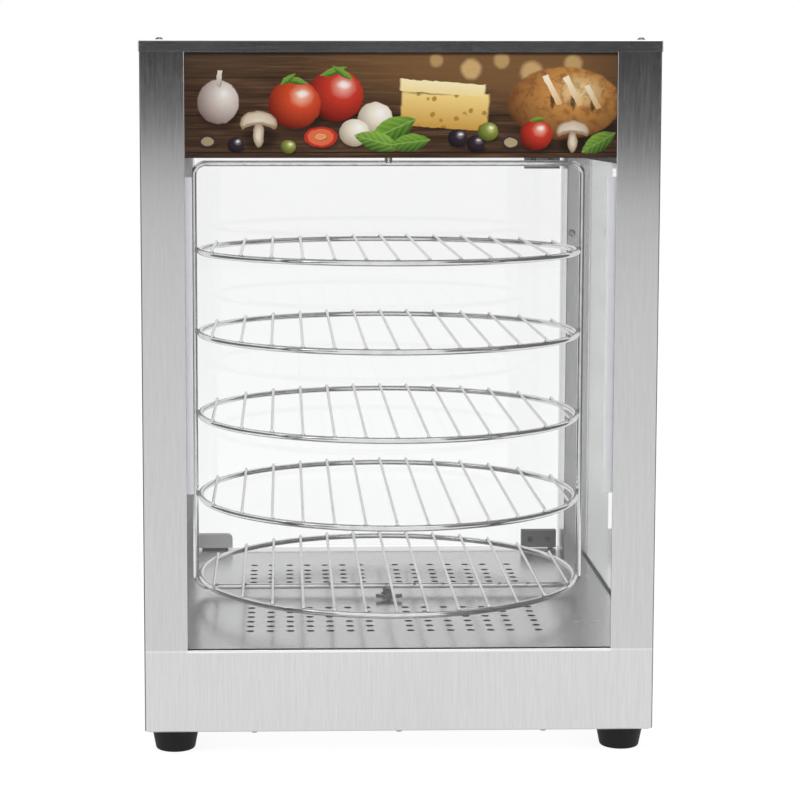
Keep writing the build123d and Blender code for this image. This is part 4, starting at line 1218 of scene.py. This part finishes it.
@dataclass
class RearControls:
    """Knob, rockers, pilot lamp and gland on the rear of the base."""

    knob: Flat = (110.0, CONTROL_Z)
    tick_reach: Flat = (22.5, 25.5)
    tick_growth: float = 2.0
    tick_halves: Flat = (0.25, 0.60)
    ticks: int = 19
    travel: float = 270.0
    pointer_half: float = 0.55
    pointer_reach: Flat = (3.6, 11.8)
    pointer_steps: int = 6
    grip_radius: float = 14.0
    grip_rows: Tuple[Flat, ...] = ((235.8, 1.0), (246.4, 1.0), (247.6, 0.2))
    grip_ribs: int = 28
    rib_profile: Tuple[Flat, ...] = ((-0.75, -0.2), (-0.45, 0.45), (0.0, 0.65), (0.45, 0.45), (0.75, -0.2))
    rib_sunk: float = -0.2
    rockers_x: Flat = (35.0, 5.0)
    mark_drop: float = 4.2
    line_halves: Flat = (0.35, 1.6)
    ring_reach: Flat = (1.1, 1.7)
    ring_steps: int = 20
    dial_lift: float = 0.12
    paint_lift: float = 0.1
    mark_lift: float = 0.08
    ray_start: float = 0.4

    def build(self) -> None:
        """Dresses the controls and marks them."""
        self._scale()
        self._pointer()
        self._ribs()
        light_x, motor_x = self.rockers_x
        self._rocker_marks("light_switch_rocker", "light_rocker_marks", Body.LIGHT_ROCKER, light_x)
        self._rocker_marks("motor_switch_rocker", "motor_rocker_marks", Body.MOTOR_ROCKER, motor_x)
        names = ("thermostat", "thermostat_knob", "switch_bodies", "cord_gland")
        dress(BLACK, "black_plastic", *names, "light_switch_rocker", "motor_switch_rocker")
        dress(AMBER, "amber_plastic", "pilot_lamp")

    def _scale(self) -> None:
        """Marks round the knob that grow longer and thicker towards hot."""
        mesh = bmesh.new()
        x, z = self.knob
        inner, outer = self.tick_reach
        thin, thick = self.tick_halves
        for index in range(self.ticks):
            share = index / (self.ticks - 1)
            angle = math.pi / 2 - math.radians(self.travel) * share
            end = outer + self.tick_growth * share
            half = thin + (thick - thin) * share
            along = (math.cos(angle), math.sin(angle))
            across = (-along[1], along[0])
            corners = [
                (x - (reach * along[0] + side * half * across[0]), z + reach * along[1] + side * half * across[1])
                for reach, side in ((inner, -1), (inner, 1), (end, 1), (end, -1))
            ]
            slab(mesh, [(cx, PANEL_Y, cz) for cx, cz in corners], self.dial_lift)
        finish_piece("dial_marks", mesh, Body.CABINET, SCALE)

    def _pointer(self) -> None:
        """White paint in the knob's pointer groove."""
        mesh = bmesh.new()
        x, z = self.knob
        low, high = (z + reach for reach in self.pointer_reach)
        for index in range(self.pointer_steps):
            foot, top = (low + (high - low) * (index + extra) / self.pointer_steps for extra in (0, 1))
            self._paint(mesh, "thermostat_knob", self._oblong(x, self.pointer_half, foot, top), self.paint_lift)
        finish_piece("knob_pointer_paint", mesh, Body.KNOB, MARKING)

    def _ribs(self) -> None:
        """Grip ribs round the knob."""
        mesh = bmesh.new()
        for index in range(self.grip_ribs):
            angle = 2 * math.pi * (index + 0.5) / self.grip_ribs
            rows = [self._rib_row(mesh, angle, y, swell) for y, swell in self.grip_rows]
            for first, second in zip(rows, rows[1:]):
                band(mesh, first, second)
            mesh.faces.new(rows[0])
            mesh.faces.new(rows[-1])
        finish_piece("knob_grip_ribs", mesh, Body.KNOB, BLACK)

    def _rib_row(self, mesh: bmesh.types.BMesh, angle: float, y: float, swell: float) -> List[bmesh.types.BMVert]:
        """One section across a rib.

        Args:
            mesh: where it goes.
            angle: the rib's turn about the knob, in radians.
            y: where the section stands.
            swell: how far the rib stands out there, as a share.

        Returns:
            The section's points.
        """
        x, z = self.knob
        out, side = (math.cos(angle), math.sin(angle)), (-math.sin(angle), math.cos(angle))
        row = []
        for run, rise in self.rib_profile:
            reach = self.grip_radius + max(rise * swell, self.rib_sunk)
            spot = Vector((x + reach * out[0] + run * side[0], y, z + reach * out[1] + run * side[1]))
            row.append(mesh.verts.new(spot * MM))
        return row

    def _rocker_marks(self, node: str, name: str, body: Body, x: float) -> None:
        """A line and a ring printed on a rocker.

        Args:
            node: the rocker's node.
            name: the marks' name.
            body: the body that they ride.
            x: the rocker's middle, in millimetres.
        """
        mesh = bmesh.new()
        up, low = CONTROL_Z + self.mark_drop, CONTROL_Z - self.mark_drop
        half, rise = self.line_halves
        self._paint(mesh, node, self._oblong(x, half, up - rise, up + rise), self.mark_lift)
        inner, outer = self.ring_reach
        for index in range(self.ring_steps):
            first, second = (2 * math.pi * (index + extra) / self.ring_steps for extra in (0, 1))
            corners = [
                (x + reach * math.cos(angle), low + reach * math.sin(angle))
                for reach, angle in ((inner, first), (inner, second), (outer, second), (outer, first))
            ]
            self._paint(mesh, node, corners, self.mark_lift)
        finish_piece(name, mesh, body, MARKING)

    @staticmethod
    def _oblong(x: float, half: float, low: float, high: float) -> List[Flat]:
        """The corners of an upright oblong about x."""
        return [(x - half, low), (x + half, low), (x + half, high), (x - half, high)]

    def _paint(self, mesh: bmesh.types.BMesh, node: str, corners: Sequence[Flat], lift: float) -> None:
        """Lays a mark on a node's rear face, in millimetres."""
        slab(mesh, [self._on_face(node, *corner) for corner in corners], lift)

    def _on_face(self, node: str, x: float, z: float) -> Point:
        """Finds the point of a node's rear face at a place seen from the rear.

        Args:
            node: the node.
            x: the place's distance across, in millimetres.
            z: its height, in millimetres.

        Returns:
            The point, in millimetres.
        """
        start = Vector((x * MM, self.ray_start, z * MM))
        _, spot, _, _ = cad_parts[node].ray_cast(start, Vector((0.0, -1.0, 0.0)))
        return (x, spot.y / MM, z)


@dataclass
class Fasteners:
    """The screws of the cabinet."""

    lid_x: float = 222.0
    lid_ends: Flat = (-238.0, 220.0)
    lid_top: float = 670.0
    under_x: Tuple[float, ...] = (-137.0, 0.0, 137.0)
    under_ends: Flat = (-241.0, 223.0)
    under_side: Flat = (232.0, -9.0)
    cover: float = 21.5
    panel_x: float = 224.0
    panel_levels: Flat = (31.5, 82.5)
    post: Point = (214.5, 171.0, 468.7)

    def build(self) -> None:
        """Makes the domed screws and dresses those in the feet."""
        lid = [((side * self.lid_x, y, self.lid_top), Way.UP) for side in (-1, 1) for y in self.lid_ends]
        ScrewSet("lid_screw_heads", Body.CABINET, "lid_screws", SCREW_DARK, DOME_SCREW).build(lid)
        under = [((x, y, self.cover), Way.DOWN) for x in self.under_x for y in self.under_ends]
        x, y = self.under_side
        under += [((side * x, y, self.cover), Way.DOWN) for side in (-1, 1)]
        rear = [((side * self.panel_x, PANEL_Y, z), Way.REAR) for side in (-1, 1) for z in self.panel_levels]
        x, y, z = self.post
        post = [((side * x, y, z), Way.FRONT) for side in (-1, 1)]
        panel = ScrewSet("panel_screw_heads", Body.CABINET, "panel_screws", SCREW, DOME_SCREW)
        panel.build(under + rear + post)
        dress(SCREW, "screw_steel", "foot_screws")


@dataclass
class Studio:
    """Pale floor, soft light and the camera."""

    floor_half: float = 6.0
    floor_glow: float = 1.18
    floor_share: float = 0.75
    flag_y: float = -5.5
    flag_half: float = 5.5
    flag_low: Flat = (0.72, 0.20)
    flag_height: float = 5.5
    flag_fade: Flat = (1.1, 1.9)
    flag_tone: float = 0.032
    side_x: float = 1.1
    side_reach: Flat = (-1.9, 0.8)
    side_tops: Flat = (0.9, 2.1)
    side_fade: Flat = (1.9, 2.4)
    side_tone: float = 0.10
    flag_top: Colour = (0.62, 0.62, 0.63)
    soft_light: Colour = (0.80, 0.81, 0.83)
    soft_strength: float = 0.75
    lamps: Tuple[Tuple[str, Point, float, float], ...] = (
        ("lamp_above", (0.0, -0.3, 2.4), 16.0, 1.8),
        ("lamp_left", (-2.2, -1.2, 1.5), 12.0, 1.2),
        ("lamp_right", (2.2, -1.0, 1.3), 9.0, 1.2),
    )
    lamp_aim: Point = (0.0, 0.0, 0.34)
    eye: Point = (-0.1083, -2.234, 0.6073)
    aim: Point = (0.02437, 1.0, -0.10195)
    focal_px: float = 2154.3
    picture_px: float = 800.0
    sensor: float = 36.0
    shift: Flat = (0.08, -0.09)

    def build(self) -> None:
        """Makes floor, world, lamps and camera."""
        self._floor()
        self._flags()
        self._world()
        for lamp in self.lamps:
            self._lamp(*lamp)
        self._camera()
        bpy.context.scene.view_settings.view_transform = "Standard"

    def _floor(self) -> None:
        """A white floor that keeps the object's shadow."""
        half = self.floor_half
        corners = [(-half, -half, 0), (half, -half, 0), (half, half, 0), (-half, half, 0)]
        floor = self._card("studio_floor", corners)
        made = bpy.data.materials.new("studio_floor_paint")
        tree = ShaderTree(made)
        paper = tree.add("ShaderNodeBsdfDiffuse", {}, {"Color": (0.9, 0.9, 0.9, 1.0)})
        white = tree.add("ShaderNodeEmission", {}, {"Color": (*FULL, 1.0), "Strength": self.floor_glow})
        tree.surface(tree.mixed(self._seen(tree) * self.floor_share, paper, white))
        floor.data.materials.append(made)

    def _flags(self) -> None:
        """Dark cards that only reflections see: those at the sides only through the panes."""
        x, y, top = self.flag_half, self.flag_y, self.flag_height
        left, right = self.flag_low
        corners = [(-x, y, left), (x, y, right), (x, y, top), (-x, y, top)]
        self._flag("studio_flag", corners, self.flag_tone, self.flag_fade, "glossy")
        near, far = self.side_reach
        for name, x, top in zip(("left", "right"), (-self.side_x, self.side_x), self.side_tops):
            corners = [(x, near, 0), (x, far, 0), (x, far, top), (x, near, top)]
            self._flag(f"studio_flag_{name}", corners, self.side_tone, self.side_fade, "transmission")

    def _flag(self, name: str, corners: Sequence[Point], tone: float, fade: Flat, seen: str) -> None:
        """One dark card, which pales towards its top.

        Args:
            name: its name.
            corners: its four corners.
            tone: its grey at the foot.
            fade: heights where it starts to pale and where it is palest.
            seen: the kind of ray that sees it.
        """
        flag = self._card(name, corners)
        made = bpy.data.materials.new(f"{name}_cloth")
        tree = ShaderTree(made)
        height = tree.axis(tree.place(), "Z")
        shade = tree.blend(height.fade(*fade), (tone, tone, tone), self.flag_top)
        black = (0.0, 0.0, 0.0, 1.0)
        sockets = {"Base Color": black, "Specular IOR Level": 0.0, "Emission Color": shade, "Emission Strength": 1.0}
        cloth = tree.principled(sockets)
        mirrored = tree.add("ShaderNodeLightPath", out="Glossy Depth").fade(0.2, 0.8)
        nothing = tree.add("ShaderNodeBsdfTransparent")
        tree.surface(tree.mixed(mirrored, nothing, cloth))
        flag.data.materials.append(made)
        for ray in ("camera", "diffuse", "glossy", "transmission", "shadow", "volume_scatter"):
            setattr(flag, f"visible_{ray}", ray == seen)

    @staticmethod
    def _card(name: str, corners: Sequence[Point]) -> bpy.types.Object:
        """A flat studio card.

        Args:
            name: its name.
            corners: its four corners.

        Returns:
            The card.
        """
        mesh = bpy.data.meshes.new(name)
        mesh.from_pydata([Vector(corner) for corner in corners], [], [(0, 1, 2, 3)])
        card = link(name, mesh)
        return card

    @staticmethod
    def _seen(tree: ShaderTree) -> Value:
        """1 for rays that show the background: from the camera, off metal or through glass.

        Args:
            tree: the nodes of the floor or world.

        Returns:
            The mask.
        """
        camera, glossy, through = (
            tree.add("ShaderNodeLightPath", out=f"Is {kind} Ray") for kind in ("Camera", "Glossy", "Transmission")
        )
        return camera.most(glossy).most(through)

    def _world(self) -> None:
        """White where it shows, soft grey light elsewhere."""
        world = bpy.data.worlds.new("studio_world")
        bpy.context.scene.world = world
        tree = ShaderTree(world)
        sockets = {"Color": (*self.soft_light, 1.0), "Strength": self.soft_strength}
        soft = tree.add("ShaderNodeBackground", {}, sockets)
        white = tree.add("ShaderNodeBackground", {}, {"Color": (*FULL, 1.0), "Strength": 1.0})
        tree.surface(tree.mixed(self._seen(tree), soft, white))

    def _lamp(self, name: str, place: Point, power: float, size: float) -> None:
        """One soft box that looks at the case.

        Args:
            name: its name.
            place: where it stands.
            power: its watts.
            size: its side in metres.
        """
        light = bpy.data.lights.new(name, "AREA")
        light.energy = power
        light.size = size
        self._stand(link(name, light), place, Vector(self.lamp_aim) - Vector(place))

    @staticmethod
    def _stand(thing: bpy.types.Object, place: Point, way: Vector) -> None:
        """Stands a lamp or the camera at a place and turns it.

        Args:
            thing: the lamp or camera.
            place: where it stands.
            way: the direction in which it looks.
        """
        thing.location = place
        thing.rotation_mode = "QUATERNION"
        thing.rotation_quaternion = way.to_track_quat("-Z", "Y")

    def _camera(self) -> None:
        """The camera where the photograph was taken from, turned towards the case."""
        data = bpy.data.cameras.new("view_camera")
        data.sensor_width = self.sensor
        data.lens = self.focal_px / self.picture_px * self.sensor
        data.shift_x, data.shift_y = self.shift
        camera = link("view_camera", data)
        self._stand(camera, self.eye, Vector(self.aim))
        bpy.context.scene.camera = camera
        LOG.info("camera lens %.2f mm", data.lens)


def main() -> None:
    """Builds the case piece by piece, then the studio."""
    logging.basicConfig(level=logging.INFO, format="%(name)s: %(message)s")
    for part in (CabinetShell(), WarmSpace(), Carousel(), RearDoor(), BaseInside(), RearControls(), Fasteners()):
        part.build()
    Studio().build()


if __name__ == "__main__":
    main()
